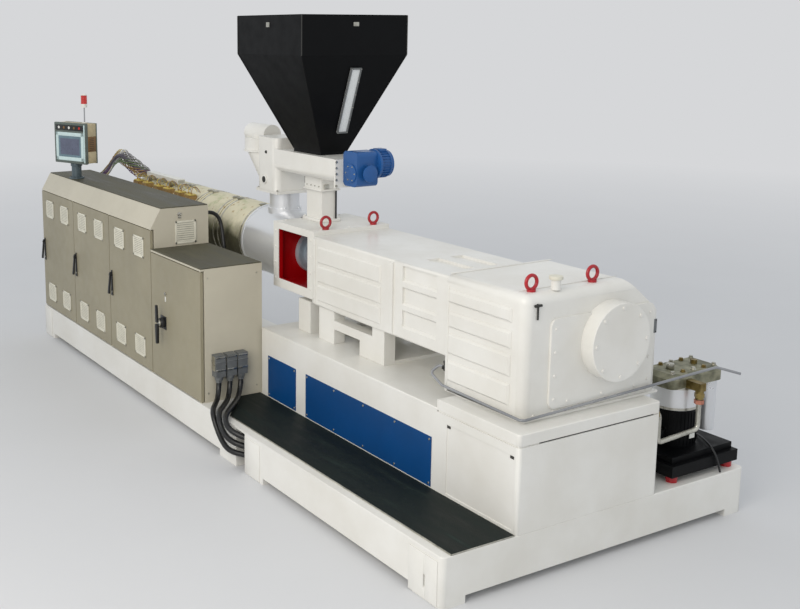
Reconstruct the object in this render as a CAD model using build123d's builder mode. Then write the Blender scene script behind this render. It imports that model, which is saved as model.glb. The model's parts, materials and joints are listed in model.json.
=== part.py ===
"""Plastic extruder with its cabinets, gearbox and hopper, in millimetres."""
from build123d import *
import math
import os

# Frame: +X points to the drive end, -Y to the operator, +Z up, floor at Z = 0.
# Across the machine stand the step, the pedestal and the bay of the oil unit.
step_w = 438.0
ped_depth = 954.0
oil_bay = 698.0
base_wid = step_w + ped_depth + oil_bay
# The cables and the switch stand out of the front by this much, so the frames sit
# back by half of it and the whole stays centred on the origin.
front_reach = 60.0
y_front = (front_reach - base_wid) / 2
ped_y0 = y_front + step_w
body_rear = ped_y0 + ped_depth
y_rear = body_rear + oil_bay

# Along the machine, from the drive end back to the die end.
base_len = 5460.0
x_drive = base_len / 2
x_die = -base_len / 2
stand_len = 605.0
gear_in = 120.0
gear_len = 580.0
slotted_len = 510.0
plain_len = 840.0
coupling_len = 490.0
feed_len = 540.0
stand_x0 = x_drive - stand_len
gear_x1 = x_drive - gear_in
gear_x0 = gear_x1 - gear_len
plain_x1 = gear_x0 - slotted_len
coup_x1 = plain_x1 - plain_len
hous_x0 = coup_x1 - coupling_len
feed_x0 = hous_x0 - feed_len
jacket_x0 = x_die + 350
die_x0 = x_die + 170

# Base frames: the drive end's platform and the plinth, with a narrow gap between.
foot_h = 40.0
deck_z = 254.0
deck_len = 1960.0
gap_w = 110.0
gap_x0 = x_drive - deck_len
gap_x1 = gap_x0 + gap_w
gap_depth = 300.0
skirt = 12.0
corner_r = 30.0
edge_r = 6.0
pad_x = 215.0
pad_y = 140.0
pocket_x = 300.0
pocket_y = 250.0
pocket_z0 = 60.0
mat_t = 6.0

# Electrical cabinets: one low module and three tall ones of the same width.
low_x1 = gap_x0 - 470
module = (low_x1 - x_die) / 4
tall_x1 = low_x1 - module
cab_y0 = y_front + 6
cab_depth = 443.0
cab_y1 = cab_y0 + cab_depth
tall_z = 1400.0
bevel_drop = 138.0
bevel_in = 78.0
low_drop = 274.0
bevel_z = tall_z - bevel_drop
low_z = tall_z - low_drop
bevel_y = cab_y0 + bevel_in
cab_wall = 25.0
cab_floor = 40.0
door_t = 20.0
door_gap = 8.0
door_back = 7.0
door_low = 8.0
hinge_in = 6.0
pin_r = 3.5
pin_fit = 0.05
pin_len = 14.0
rail_t = 12.0

# Pedestal, gearbox stand and the screw's axis above them.
ped_x0 = low_x1 + 20
stand_z = 750.0
ped_z = stand_z - 47
gear_axis_h = 395.0
axis_z = stand_z + gear_axis_h
axis_y = ped_y0 + 452
hous_half = 290.0
hous_below = 233.0
hous_above = 200.0
box_rise = 27.0
hous_y0 = axis_y - hous_half
hous_y1 = axis_y + hous_half
hous_z0 = axis_z - hous_below
hous_z1 = axis_z + hous_above
box_z0 = hous_z0 + box_rise
box_z1 = hous_z1 + box_rise
gear_y0 = ped_y0 + 122
gear_y1 = body_rear + 98
gear_z = axis_z + 225
feed_r = 240.0
jacket_r = 232.0
die_bore_r = 45.0
die_bolt_circle_d = 230.0
die_bolt_r = 9.0
shaft_r = 45.0

# Feed line above the barrel.
throat_x = hous_x0 - 342
throat_r = 103.0
throat_z = axis_z + 360
feeder_half = 145.0
head_h = 90.0
trough_h = 150.0
feeder_y0 = axis_y - feeder_half
feeder_y1 = axis_y + feeder_half
column_z1 = throat_z + 70
trough_z0 = column_z1 + head_h
feeder_z1 = trough_z0 + trough_h
feeder_x1 = hous_x0 + 510
hop_x = hous_x0 + 110
hop_y = axis_y
hop_w = 798.0
hop_d = 780.0
hop_rim_h = 245.0
hop_cone_h = 615.0
hop_low = feeder_z1 + 20
hop_mid = hop_low + hop_cone_h
hop_top = hop_mid + hop_rim_h
hop_out_w = 330.0
hop_out_d = 200.0
hop_t = 4.0


def block(x0, x1, y0, y1, z0, z1, mode=Mode.ADD):
    """Box between two corners, in the part being built."""
    with Locations(((x0 + x1) / 2, (y0 + y1) / 2, (z0 + z1) / 2)):
        Box(x1 - x0, y1 - y0, z1 - z0, mode=mode)


def rod_x(x0, x1, y, z, r, mode=Mode.ADD):
    """Cylinder along X."""
    with Locations(Location(((x0 + x1) / 2, y, z), (0, 90, 0))):
        Cylinder(r, x1 - x0, mode=mode)


def rod_y(y0, y1, x, z, r, mode=Mode.ADD):
    """Cylinder along Y."""
    with Locations(Location((x, (y0 + y1) / 2, z), (90, 0, 0))):
        Cylinder(r, y1 - y0, mode=mode)


def rod_z(z0, z1, x, y, r, mode=Mode.ADD):
    """Cylinder along Z."""
    with Locations((x, y, (z0 + z1) / 2)):
        Cylinder(r, z1 - z0, mode=mode)


pieces = {}


def keep(part, name):
    """Label a finished piece and note it for export."""
    part.label = name
    pieces[name] = part


# The platform carries the drive end. Behind its front plate is the cables' pocket.
slot_x = x_drive - 126
with BuildPart() as platform:
    block(gap_x1, x_drive, y_front, y_rear, foot_h, deck_z)
    block(gap_x0, gap_x1, y_front + gap_depth, body_rear, foot_h, deck_z)
    block(gap_x0, gap_x1, y_front, y_front + gap_depth, deck_z - skirt, deck_z)
    for x0 in (gap_x1, x_drive - pad_x):
        for y0 in (y_front, y_rear - pad_y):
            block(x0, x0 + pad_x, y0, y0 + pad_y, 0, foot_h)
    ends = platform.edges().filter_by(Axis.Z).filter_by_position(Axis.X, x_drive - 1, x_drive + 1)
    fillet(ends.group_by(Axis.Y)[0] + ends.group_by(Axis.Y)[-1], corner_r)
    front_top = platform.edges().group_by(Axis.Z)[-1].filter_by(Axis.X).group_by(Axis.Y)[0]
    fillet(front_top, edge_r)
    block(gap_x1, gap_x1 + pocket_x, y_front + skirt, y_front + pocket_y, pocket_z0,
          deck_z - skirt, Mode.SUBTRACT)
    block(slot_x - 6, slot_x + 6, y_front, y_front + skirt, 63, 121, Mode.SUBTRACT)
keep(platform.part, "platform")

with BuildPart() as plinth:
    block(x_die, gap_x0, y_front, body_rear, foot_h, deck_z)
    for x0 in (x_die, gap_x0 - pad_x):
        for y0 in (y_front, body_rear - pad_y):
            block(x0, x0 + pad_x, y0, y0 + pad_y, 0, foot_h)
keep(plinth.part, "plinth")

# The step's mat is cut back at one corner, where the cables come down.
mat_y0 = y_front + 54
mat_y1 = ped_y0 - 6
with BuildPart() as step_mat:
    with BuildSketch(Plane.XY.offset(deck_z)) as outline:
        with BuildLine():
            Polyline((low_x1 + 6, mat_y1), (low_x1 + 6, mat_y1 - 160), (low_x1 + 293, mat_y0),
                     (x_drive - 4, mat_y0), (x_drive - 4, mat_y1), close=True)
        make_face()
    extrude(amount=mat_t)
keep(step_mat.part, "step_mat")

with BuildPart() as pedestal:
    block(ped_x0, stand_x0, ped_y0, body_rear, deck_z, ped_z)
    fillet(pedestal.edges().group_by(Axis.Z)[-1].filter_by(Axis.X), edge_r)
keep(pedestal.part, "pedestal")

# Two service panels on the operator's side of the pedestal.
panel_t = 4.0
panel_z0 = deck_z + 10
panel_z1 = ped_z - 168
with BuildPart() as side_panels:
    block(ped_x0 + 83, ped_x0 + 426, ped_y0 - panel_t, ped_y0, panel_z0, panel_z1)
    block(ped_x0 + 541, stand_x0 - 36, ped_y0 - panel_t, ped_y0, panel_z0, panel_z1)
keep(side_panels.part, "side_panels")

# Gearbox stand with a shadow groove all round and a sunk panel in front.
groove_z = stand_z - 65
groove_h = 8.0
groove_in = 6.0
with BuildPart() as stand:
    block(stand_x0, x_drive, ped_y0, body_rear, deck_z, stand_z)
    fillet(stand.edges().filter_by(Axis.Z).sort_by(Axis.X)[-2:], 20)
    fillet(stand.edges().group_by(Axis.Z)[-1], edge_r)
    with BuildSketch(Plane.XY.offset(groove_z)) as rim:
        with Locations(((stand_x0 + x_drive) / 2, (ped_y0 + body_rear) / 2)):
            Rectangle(stand_len + 40, ped_depth + 40)
            Rectangle(stand_len - 2 * groove_in, ped_depth - 2 * groove_in, mode=Mode.SUBTRACT)
    extrude(amount=groove_h, mode=Mode.SUBTRACT)
    block(stand_x0 + 82, x_drive - 30, ped_y0, ped_y0 + 4, deck_z + 16, groove_z - 45,
          Mode.SUBTRACT)
keep(stand.part, "gearbox_stand")

# Gearbox casing, rounded on the operator's side and chamfered at the rear.
rib_t = 14.0
rib_slope = 12.0
with BuildPart() as gearbox:
    block(gear_x0, gear_x1, gear_y0, gear_y1, stand_z, gear_z)
    rear_top = gearbox.edges().filter_by(Axis.X).sort_by(Axis.Z)[-2:].sort_by(Axis.Y)[-1]
    chamfer(rear_top, 200, 250)
    front_top = gearbox.edges().filter_by(Axis.X).sort_by(Axis.Y)[:2].sort_by(Axis.Z)[-1]
    fillet(front_top, 45)
    near = gearbox.edges().filter_by(Axis.Z).filter_by_position(Axis.X, gear_x1 - 1, gear_x1 + 1)
    fillet(near, 50)
    for drop, height in ((75, 70), (190, 85), (305, 110), (450, 110)):
        z = gear_z - drop
        block(gear_x0 + 25, gear_x1 - 90, gear_y0 - rib_t, gear_y0, z - height, z)
    face = gear_y0 - rib_t
    chamfer(gearbox.edges().filter_by_position(Axis.Y, face - 0.1, face + 0.1), rib_slope)
keep(gearbox.part, "gearbox")

# Bearing cover on the gearbox's end, in a flat plate that is cut round it.
cover_t = 12.0
boss_y = gear_y1 - 372
boss_z = axis_z - 57
boss_r = 200.0
boss_len = 90.0
with BuildPart() as bearing_cover:
    rod_x(gear_x1, gear_x1 + boss_len, boss_y, boss_z, boss_r)
    rim_edge = bearing_cover.edges().sort_by(Axis.X)[-1]
    fillet(rim_edge, 5)
    with Locations(Location((gear_x1 + boss_len + 3, boss_y, boss_z), (0, 90, 0))):
        with PolarLocations(boss_r - 26, 8):
            Cylinder(9, 6)
keep(bearing_cover.part, "bearing_cover")

with BuildPart() as end_cover:
    block(gear_x1, gear_x1 + cover_t, gear_y0 + 160, gear_y1 - 60, stand_z + 40, gear_z - 130)
    fillet(end_cover.edges().filter_by(Axis.X), 40)
    rod_x(gear_x1, gear_x1 + cover_t, boss_y, boss_z, boss_r, Mode.SUBTRACT)
keep(end_cover.part, "end_cover")

# Housing between the gearbox and the barrel.
slot_h = 78.0
slot_t = 14.0
with BuildPart() as slotted:
    block(plain_x1, gear_x0, hous_y0, hous_y1, hous_z0, hous_z1)
    fillet(slotted.edges().filter_by(Axis.X), 12)
    for drop in (95, 225, 355):
        block(plain_x1 + 80, gear_x0 - 130, hous_y0, hous_y0 + slot_t, hous_z1 - drop,
              hous_z1 - drop + slot_h, Mode.SUBTRACT)
    for y0 in (axis_y - 130, axis_y + 40):
        block(plain_x1 + 80, gear_x0 - 130, y0, y0 + 90, hous_z1 - slot_t, hous_z1, Mode.SUBTRACT)
    in_face = slotted.edges().filter_by_position(Axis.Y, hous_y0 - 0.1, hous_y0 + 0.1)
    in_face = in_face.filter_by_position(Axis.Z, hous_z1 - 360, hous_z1 - 90)
    in_face = in_face.filter_by(Axis.X)
    chamfer(in_face.filter_by_position(Axis.X, plain_x1 + 79, gear_x0 - 129), slot_t - 2)
keep(slotted.part, "housing_slotted")

flange_t = 10.0
with BuildPart() as plain:
    block(coup_x1, plain_x1, hous_y0, hous_y1, hous_z0, hous_z1)
    fillet(plain.edges().filter_by(Axis.X), 12)
    for drop, height in ((55, 100), (175, 100), (295, 100)):
        z = hous_z1 - drop
        block(coup_x1 + 60, plain_x1 - 120, hous_y0 - flange_t, hous_y0, z - height, z)
    face = hous_y0 - flange_t
    chamfer(plain.edges().filter_by_position(Axis.Y, face - 0.1, face + 0.1), flange_t - 2)
    block(plain_x1 - 50, plain_x1, hous_y0 - flange_t, hous_y0, hous_z0 + 12, hous_z1 - 12)
keep(plain.part, "housing_plain")

# The coupling box is open on the operator's side, where the shaft coupling shows.
wall = 35.0
win_x0 = hous_x0 + 65
win_x1 = coup_x1 - 68
win_z0 = box_z0 + 60
win_z1 = box_z1 - 45
with BuildPart() as coupling_box:
    block(hous_x0, coup_x1, hous_y0, hous_y1, box_z0, box_z1)
    block(hous_x0 + wall, coup_x1 - wall, hous_y0 + wall, hous_y1 - wall, box_z0 + wall,
          box_z1 - wall, Mode.SUBTRACT)
    block(win_x0, win_x1, hous_y0, hous_y0 + wall, win_z0, win_z1, Mode.SUBTRACT)
keep(coupling_box.part, "coupling_box")

hub_r = 142.0
core_r = 100.0
with BuildPart() as coupling:
    rod_x(hous_x0 + wall, coup_x1 - wall, axis_y, axis_z, shaft_r)
    rod_x(hous_x0 + wall, hous_x0 + wall + 40, axis_y, axis_z, hub_r)
    rod_x(hous_x0 + wall + 40, hous_x0 + wall + 90, axis_y, axis_z, core_r)
    rod_x(coup_x1 - wall - 60, coup_x1 - wall, axis_y, axis_z, core_r)
keep(coupling.part, "shaft_coupling")

# Feed section, barrel and die end.
neck_h = 10.0
with BuildPart() as feed_section:
    rod_x(feed_x0, hous_x0, axis_y, axis_z, feed_r)
    rod_z(axis_z, axis_z + feed_r + neck_h, throat_x, axis_y, throat_r + 14)
keep(feed_section.part, "feed_section")

with BuildPart() as throat:
    rod_z(axis_z + feed_r + neck_h, throat_z, throat_x, axis_y, throat_r)
keep(throat.part, "feed_throat")

band_count = 5
band_gap = 14.0
band_len = (feed_x0 - jacket_x0) / band_count
with BuildPart() as jackets:
    rod_x(jacket_x0, feed_x0, axis_y, axis_z, jacket_r)
    for i in range(1, band_count):
        x = jacket_x0 + i * band_len
        with Locations(Location((x, axis_y, axis_z), (0, 90, 0))):
            Cylinder(jacket_r, band_gap, mode=Mode.SUBTRACT)
            Cylinder(jacket_r - 14, band_gap)
keep(jackets.part, "barrel_jackets")

flange_len = 60.0
barrel_r = 120.0
with BuildPart() as die_end:
    rod_x(die_x0 + flange_len, jacket_x0, axis_y, axis_z, barrel_r)
    rod_x(die_x0, die_x0 + flange_len, axis_y, axis_z, barrel_r + 45)
    rod_x(die_x0, jacket_x0, axis_y, axis_z, die_bore_r, Mode.SUBTRACT)
    with Locations(Location((die_x0 + 20, axis_y, axis_z), (0, 90, 0))):
        with PolarLocations(die_bolt_circle_d / 2, 8):
            Cylinder(die_bolt_r, 40, mode=Mode.SUBTRACT)
keep(die_end.part, "die_flange")

sup_z = axis_z - jacket_r
sup_top = sup_z + 40
with BuildPart() as barrel_supports:
    for x in (jacket_x0 + 280, feed_x0 - 700):
        block(x - 90, x + 90, axis_y - 170, axis_y + 170, deck_z, deck_z + 20)
        block(x - 60, x + 60, axis_y - 110, axis_y + 110, deck_z + 20, sup_top)
        rod_x(x - 70, x + 70, axis_y, axis_z, jacket_r, Mode.SUBTRACT)
keep(barrel_supports.part, "barrel_supports")

# Two legs, a beam and a foot carry the housing on each side.
leg_t = 80.0
leg_x = hous_x0 + 290
leg2_x = hous_x0 + 532
foot_x = hous_x0 + 975
rail_x1 = hous_x0 + 1222
beam_z0 = hous_z0 - 115
beam_z1 = hous_z0 - 60
with BuildPart() as housing_support:
    for y0 in (hous_y0 + 20, hous_y1 - 20 - leg_t):
        block(leg_x, leg_x + 140, y0, y0 + leg_t, ped_z, hous_z0)
        block(leg2_x, leg2_x + 170, y0, y0 + leg_t, ped_z, hous_z0)
        block(leg2_x + 170, rail_x1, y0, y0 + leg_t, beam_z0, beam_z1)
        block(rail_x1 - 120, rail_x1, y0, y0 + leg_t, beam_z1, hous_z0)
        block(foot_x, rail_x1, y0, y0 + leg_t, ped_z, beam_z0)
    block(leg_x, rail_x1, axis_y - 60, axis_y + 60, ped_z, ped_z + 20)
    block(leg_x, leg_x + 140, hous_y0 + 20, hous_y1 - 20, ped_z, ped_z + 20)
    block(foot_x, rail_x1, hous_y0 + 20, hous_y1 - 20, ped_z, ped_z + 20)
keep(housing_support.part, "housing_support")

# Dosing screw: a trough, the discharge box over the throat and an end flange.
drop_half = 130.0
drop_top = feeder_z1 + 70
end_flange_t = 15.0
with BuildPart() as feeder:
    block(throat_x, feeder_x1, feeder_y0, feeder_y1, trough_z0, feeder_z1)
    fillet(feeder.edges().filter_by(Axis.X).group_by(Axis.Z)[0], 50)
    block(feeder_x1, feeder_x1 + end_flange_t, feeder_y0 - 8, feeder_y1 + 8, trough_z0 - 25,
          feeder_z1)
    block(throat_x - 145, throat_x + 145, axis_y - 145, axis_y + 145, throat_z, throat_z + 20)
    with BuildSketch(Plane.XY.offset(throat_z + 20)) as drop_outline:
        with Locations((throat_x, axis_y)):
            RectangleRounded(2 * drop_half, 2 * drop_half + 40, 50)
    extrude(amount=drop_top - throat_z - 20)
    rod_y(axis_y - drop_half - 28, axis_y - drop_half - 20, throat_x - 20, throat_z + 92, 22)
keep(feeder.part, "feeder_housing")

# Vent chute on the discharge box: a bent cap, a drum and a slanted cone.
drum_x = throat_x - 318
drum_z0 = throat_z + 252
drum_z1 = drum_z0 + 95
cap_z = drum_z1 + 28
chute_x1 = throat_x - drop_half
with BuildPart() as funnel:
    with BuildSketch(Plane.XY.offset(throat_z + 30)) as low:
        with Locations((throat_x - 190, axis_y)):
            Circle(62)
    with BuildSketch(Plane.XY.offset(drum_z0)) as high:
        with Locations((drum_x + 20, axis_y)):
            Circle(112)
    loft()
    rod_z(drum_z0, drum_z0 + 12, drum_x + 5, axis_y, 132)
    rod_z(drum_z0 + 12, drum_z1, drum_x, axis_y, 122)
    rod_z(drum_z1, cap_z, drum_x + 20, axis_y, 78)
    rod_x(drum_x - 170, drum_x + 150, axis_y, cap_z, 70)
    cap_end = funnel.edges().sort_by(Axis.X)[0]
    fillet(cap_end, 45)
    block(drum_x + 20, chute_x1, axis_y - 70, axis_y + 70, throat_z + 150, throat_z + 240)
    block(chute_x1, chute_x1 + 300, axis_y - 150, axis_y + 150, throat_z, drop_top + 100,
          Mode.SUBTRACT)
keep(funnel.part, "vent_funnel")

with BuildPart() as column:
    block(hous_x0 + 42, hous_x0 + 223, axis_y - 58, axis_y + 58, box_z1, column_z1)
    block(hous_x0 + 32, hous_x0 + 233, axis_y - 68, axis_y + 68, column_z1, trough_z0)
keep(column.part, "feeder_column")

# Geared motor: a worm box on the end flange and a motor across the machine.
worm_x0 = feeder_x1 + end_flange_t
worm_x1 = worm_x0 + 150
worm_y0 = axis_y - 95
worm_y1 = axis_y + 60
motor_x = worm_x0 + 95
motor_y1 = worm_y1 + 105
motor_z = feeder_z1 - 28
motor_r = 82.0
with BuildPart() as feeder_drive:
    block(worm_x0, worm_x1, worm_y0, worm_y1, feeder_z1 - 160, feeder_z1 + 55)
    fillet(feeder_drive.edges().filter_by(Axis.Y), 30)
    rod_y(worm_y1, motor_y1, motor_x, motor_z, motor_r)
    rod_y(motor_y1, motor_y1 + 28, motor_x, motor_z, 36)
keep(feeder_drive.part, "feeder_drive")

# Hopper, an open sheet shell, with a sight glass in its slanted drive side.
cone_run = (hop_w - hop_out_w) / 2
cone_tilt = math.degrees(math.atan2(cone_run, hop_cone_h))
glass_w = 76.0
glass_len = 440.0
glass_t = 8.0
glass_y = hop_y + 22
glass_mid = 0.54
side_plane = Plane(
    origin=(hop_x + hop_out_w / 2 + glass_mid * cone_run, glass_y, hop_low + glass_mid * hop_cone_h),
    x_dir=(0, 1, 0),
    z_dir=(math.cos(math.radians(cone_tilt)), 0, -math.sin(math.radians(cone_tilt))),
)
with BuildPart() as hopper:
    block(hop_x - hop_w / 2, hop_x + hop_w / 2, hop_y - hop_d / 2, hop_y + hop_d / 2,
          hop_mid, hop_top)
    with BuildSketch(Plane.XY.offset(hop_mid)) as cone_top:
        with Locations((hop_x, hop_y)):
            Rectangle(hop_w, hop_d)
    with BuildSketch(Plane.XY.offset(hop_low)) as cone_low:
        with Locations((hop_x, hop_y)):
            Rectangle(hop_out_w, hop_out_d)
    loft()
    block(hop_x - hop_out_w / 2, hop_x + hop_out_w / 2, hop_y - hop_out_d / 2,
          hop_y + hop_out_d / 2, feeder_z1, hop_low)
    offset(amount=-hop_t, openings=[hopper.faces().sort_by(Axis.Z)[-1],
                                    hopper.faces().sort_by(Axis.Z)[0]])
    with BuildSketch(side_plane) as slot:
        Rectangle(glass_w - 30, glass_len - 30)
    extrude(amount=-30, mode=Mode.SUBTRACT)
keep(hopper.part, "hopper")

with BuildPart() as glass:
    with BuildSketch(side_plane) as pane:
        Rectangle(glass_w, glass_len)
    extrude(amount=glass_t)
keep(glass.part, "sight_glass")

# Cabinets: hollow carcasses behind overlay doors, which turn on pins in a foot
# bracket and in the rail above.
body_y0 = cab_y0 + door_t + door_back
door_z0 = deck_z + door_low
tall_door_z1 = bevel_z - 6
low_door_z1 = low_z - rail_t - 6
pin_y = cab_y0 + hinge_in


def hinge_x(seam):
    """Place of the hinge pins of the door that ends at this seam."""
    return seam - door_gap / 2 - hinge_in


def hinge_pins(seam, door_z1, rail_z):
    """Foot bracket and both pins of one door."""
    x = hinge_x(seam)
    block(x - 20, x + hinge_in, cab_y0 + 1, body_y0, deck_z, deck_z + 3)
    rod_z(deck_z, door_z0 + pin_len, x, pin_y, pin_r)
    rod_z(door_z1 - pin_len, rail_z, x, pin_y, pin_r)


with BuildPart() as tall_cabinet:
    with BuildSketch(Plane.YZ.offset(x_die)) as side:
        with BuildLine():
            Polyline((body_y0, deck_z), (cab_y1, deck_z), (cab_y1, tall_z), (bevel_y, tall_z),
                     (cab_y0, bevel_z), (body_y0, bevel_z), close=True)
        make_face()
    extrude(amount=tall_x1 - x_die)
    for i in range(3):
        x0 = x_die + i * module
        block(x0 + cab_wall, x0 + module - cab_wall, body_y0, cab_y1 - cab_wall,
              deck_z + cab_floor, bevel_z - cab_floor, Mode.SUBTRACT)
        hinge_pins(x0 + module, tall_door_z1, bevel_z)
keep(tall_cabinet.part, "cabinet_tall")

with BuildPart() as low_cabinet:
    block(tall_x1, low_x1, body_y0, cab_y1, deck_z, low_z)
    block(tall_x1, low_x1, cab_y0, body_y0, low_z - rail_t, low_z)
    block(tall_x1 + cab_wall, low_x1 - cab_wall, body_y0, cab_y1 - cab_wall,
          deck_z + cab_floor, low_z - cab_floor, Mode.SUBTRACT)
    hinge_pins(low_x1, low_door_z1, low_z - rail_t)
keep(low_cabinet.part, "cabinet_low")

with BuildPart() as mats:
    block(x_die + 4, tall_x1 - 4, bevel_y + 4, cab_y1 - 4, tall_z, tall_z + mat_t)
    block(tall_x1 + 6, low_x1 - 2, cab_y0 + 2, cab_y1 - 2, low_z, low_z + mat_t)
keep(mats.part, "cabinet_mats")

# Ventilation grilles, four on each tall door, and its swing handle.
vent_w = 175.0
vent_h = 145.0
vent_t = 6.0
vent_in = 14.0
vent_x = module / 4 - vent_in
vent_low_z = deck_z + 149
vent_high_z = tall_door_z1 - 139
handle_x = 27.0
handle_z = 755.0


def door_leaf(seam0, seam1, z1):
    """Door between two seams with its pin holes."""
    x0 = seam0 + door_gap / 2
    x1 = seam1 - door_gap / 2
    block(x0, x1, cab_y0, cab_y0 + door_t, door_z0, z1)
    for za, zb in ((door_z0, door_z0 + pin_len + 1), (z1 - pin_len - 1, z1)):
        rod_z(za, zb, hinge_x(seam1), pin_y, pin_r + pin_fit, Mode.SUBTRACT)


for i in range(3):
    seam0 = x_die + i * module
    seam1 = seam0 + module
    mid = (seam0 + seam1) / 2
    with BuildPart() as door:
        door_leaf(seam0, seam1, tall_door_z1)
    keep(door.part, f"door_{i + 1}")
    with BuildPart() as vents:
        for cx in (mid - vent_x, mid + vent_x):
            for z in (vent_low_z, vent_high_z):
                block(cx - vent_w / 2, cx + vent_w / 2, cab_y0 - vent_t, cab_y0, z - vent_h / 2,
                      z + vent_h / 2)
    keep(vents.part, f"vents_{i + 1}")
    with BuildPart() as handle:
        x0 = seam0 + handle_x
        block(x0, x0 + 36, cab_y0 - 10, cab_y0, handle_z - 95, handle_z + 95)
        block(x0 + 6, x0 + 30, cab_y0 - 34, cab_y0 - 10, handle_z - 75, handle_z + 85)
    keep(handle.part, f"handle_{i + 1}")

with BuildPart() as door_low_leaf:
    door_leaf(tall_x1, low_x1, low_door_z1)
keep(door_low_leaf.part, "door_4")

switch_x = (tall_x1 + low_x1) / 2 - 183
switch_z = 660.0
with BuildPart() as switch_lever:
    rod_y(cab_y0 - 40, cab_y0, switch_x, switch_z, 38)
    block(switch_x - 18, switch_x + 18, cab_y0 - 62, cab_y0 - 40, switch_z - 140, switch_z + 125)
keep(switch_lever.part, "switch_lever")

with BuildPart() as end_vent:
    block(tall_x1, tall_x1 + vent_t, cab_y0 + 186, cab_y0 + 346, low_z + 20, low_z + 180)
keep(end_vent.part, "end_vent")

# Three cable hoods on the end of the low cabinet.
hood_x = 62.0
hood_z0 = deck_z + 174
hood_z1 = hood_z0 + 142
with BuildPart() as sockets:
    for reach in (109, 189, 268):
        y = cab_y0 + reach
        block(low_x1, low_x1 + hood_x, y - 34, y + 34, hood_z0, hood_z1)
keep(sockets.part, "cable_sockets")

# Operator's terminal on its post, with the signal lamp behind it.
post_x = x_die + 490
post_y = y_front + 145
with BuildPart() as post:
    rod_z(tall_z + mat_t, tall_z + 135, post_x, post_y, 40)
keep(post.part, "terminal_post")
term_turn = 22.0
term_h = 330.0
term_z0 = tall_z + 135
with BuildPart() as terminal:
    with Locations(Location((post_x, post_y, term_z0 + term_h / 2), (0, 0, term_turn))):
        Box(370, 135, term_h)
keep(terminal.part, "terminal")
lamp_x = post_x + 110
lamp_y = post_y + 40
lamp_z0 = term_z0 + term_h
with BuildPart() as lamp:
    rod_z(lamp_z0, lamp_z0 + 125, lamp_x, lamp_y, 8)
    rod_z(lamp_z0 + 125, lamp_z0 + 235, lamp_x, lamp_y, 26)
keep(lamp.part, "signal_lamp")

# Heater terminals and the wire duct on the barrel, seated on the jackets.
duct_end = 53.0
duct_x0 = jacket_x0 + band_len / 2 - duct_end
duct_x1 = duct_x0 + 1.5 * band_len
duct_z = axis_z + jacket_r + 8
duct_h = 40.0
with BuildPart() as wire_duct:
    block(duct_x0, duct_x1, axis_y - 125, axis_y - 60, duct_z, duct_z + duct_h)
    for i in range(2):
        x = jacket_x0 + (i + 0.5) * band_len
        block(x - 25, x + 25, axis_y - 120, axis_y - 70, axis_z, duct_z)
    rod_x(jacket_x0, feed_x0, axis_y, axis_z, jacket_r, Mode.SUBTRACT)
keep(wire_duct.part, "wire_duct")
term_seat = math.sqrt(jacket_r ** 2 - 165 ** 2)
with BuildPart() as heater_terminals:
    for i in range(3):
        for dx in (-90, 90):
            x = jacket_x0 + (i + 0.5) * band_len + dx
            block(x - 48, x + 48, axis_y - 215, axis_y - 145, axis_z + term_seat - 45,
                  axis_z + term_seat + 38)
    rod_x(jacket_x0, feed_x0, axis_y, axis_z, jacket_r, Mode.SUBTRACT)
keep(heater_terminals.part, "heater_terminals")

# Lifting eyes.
ring_r = 34.0
ring_bar = 9.0
ring_lift = ring_r + ring_bar + 2
with BuildPart() as eyes:
    for x, y, z in (
        (coup_x1 - 35, axis_y - 176, box_z1),
        (coup_x1 - 35, axis_y + 188, box_z1),
        (gear_x1 - 70, gear_y0 + 95, gear_z),
        (gear_x1 - 70, gear_y0 + 500, gear_z),
    ):
        rod_z(z, z + 12, x, y, 22)
        with Locations(Location((x, y, z + ring_lift), (0, 90, 0))):
            Torus(ring_r, ring_bar)
keep(eyes.part, "eye_bolts")

# Oil unit on the rear of the platform: feet, tray, motor, cooler and pump head.
oil_x = x_drive - 250
oil_y = y_rear - 295
tray_x0 = oil_x - 190
tray_x1 = oil_x + 220
tray_y0 = y_rear - 545
tray_y1 = y_rear - 25
tray_z0 = deck_z + 36
tray_z1 = tray_z0 + 62
tank_z1 = tray_z1 + 35
motor_top = tank_z1 + 205
cooler_top = motor_top + 133
head_top = cooler_top + 75
with BuildPart() as oil_feet:
    for x in (tray_x0 + 40, tray_x1 - 40):
        for y in (tray_y0 + 45, tray_y1 - 40):
            rod_z(deck_z, tray_z0, x, y, 30)
keep(oil_feet.part, "oil_feet")
with BuildPart() as oil_tank:
    block(tray_x0, tray_x1, tray_y0, tray_y1, tray_z0, tray_z1)
    block(tray_x0 + 30, tray_x1 - 30, tray_y0 + 30, tray_y1 - 15, tray_z1, tank_z1)
keep(oil_tank.part, "oil_tank")
with BuildPart() as oil_motor:
    rod_z(tank_z1, motor_top, oil_x, oil_y, 122)
keep(oil_motor.part, "oil_motor")
with BuildPart() as oil_cooler:
    rod_z(motor_top, cooler_top, oil_x, oil_y, 124)
    rod_z(cooler_top - 290, cooler_top, oil_x + 60, oil_y + 200, 42)
keep(oil_cooler.part, "oil_cooler")
head_x1 = oil_x + 120
head_y0 = oil_y - 165
head_y1 = oil_y + 245
with BuildPart() as oil_head:
    block(oil_x - 110, head_x1, head_y0, head_y1, cooler_top, head_top)
    fillet(oil_head.edges().filter_by(Axis.Z), 40)
    chamfer(oil_head.edges().group_by(Axis.Z)[-1], 25)
keep(oil_head.part, "oil_head")

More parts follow.
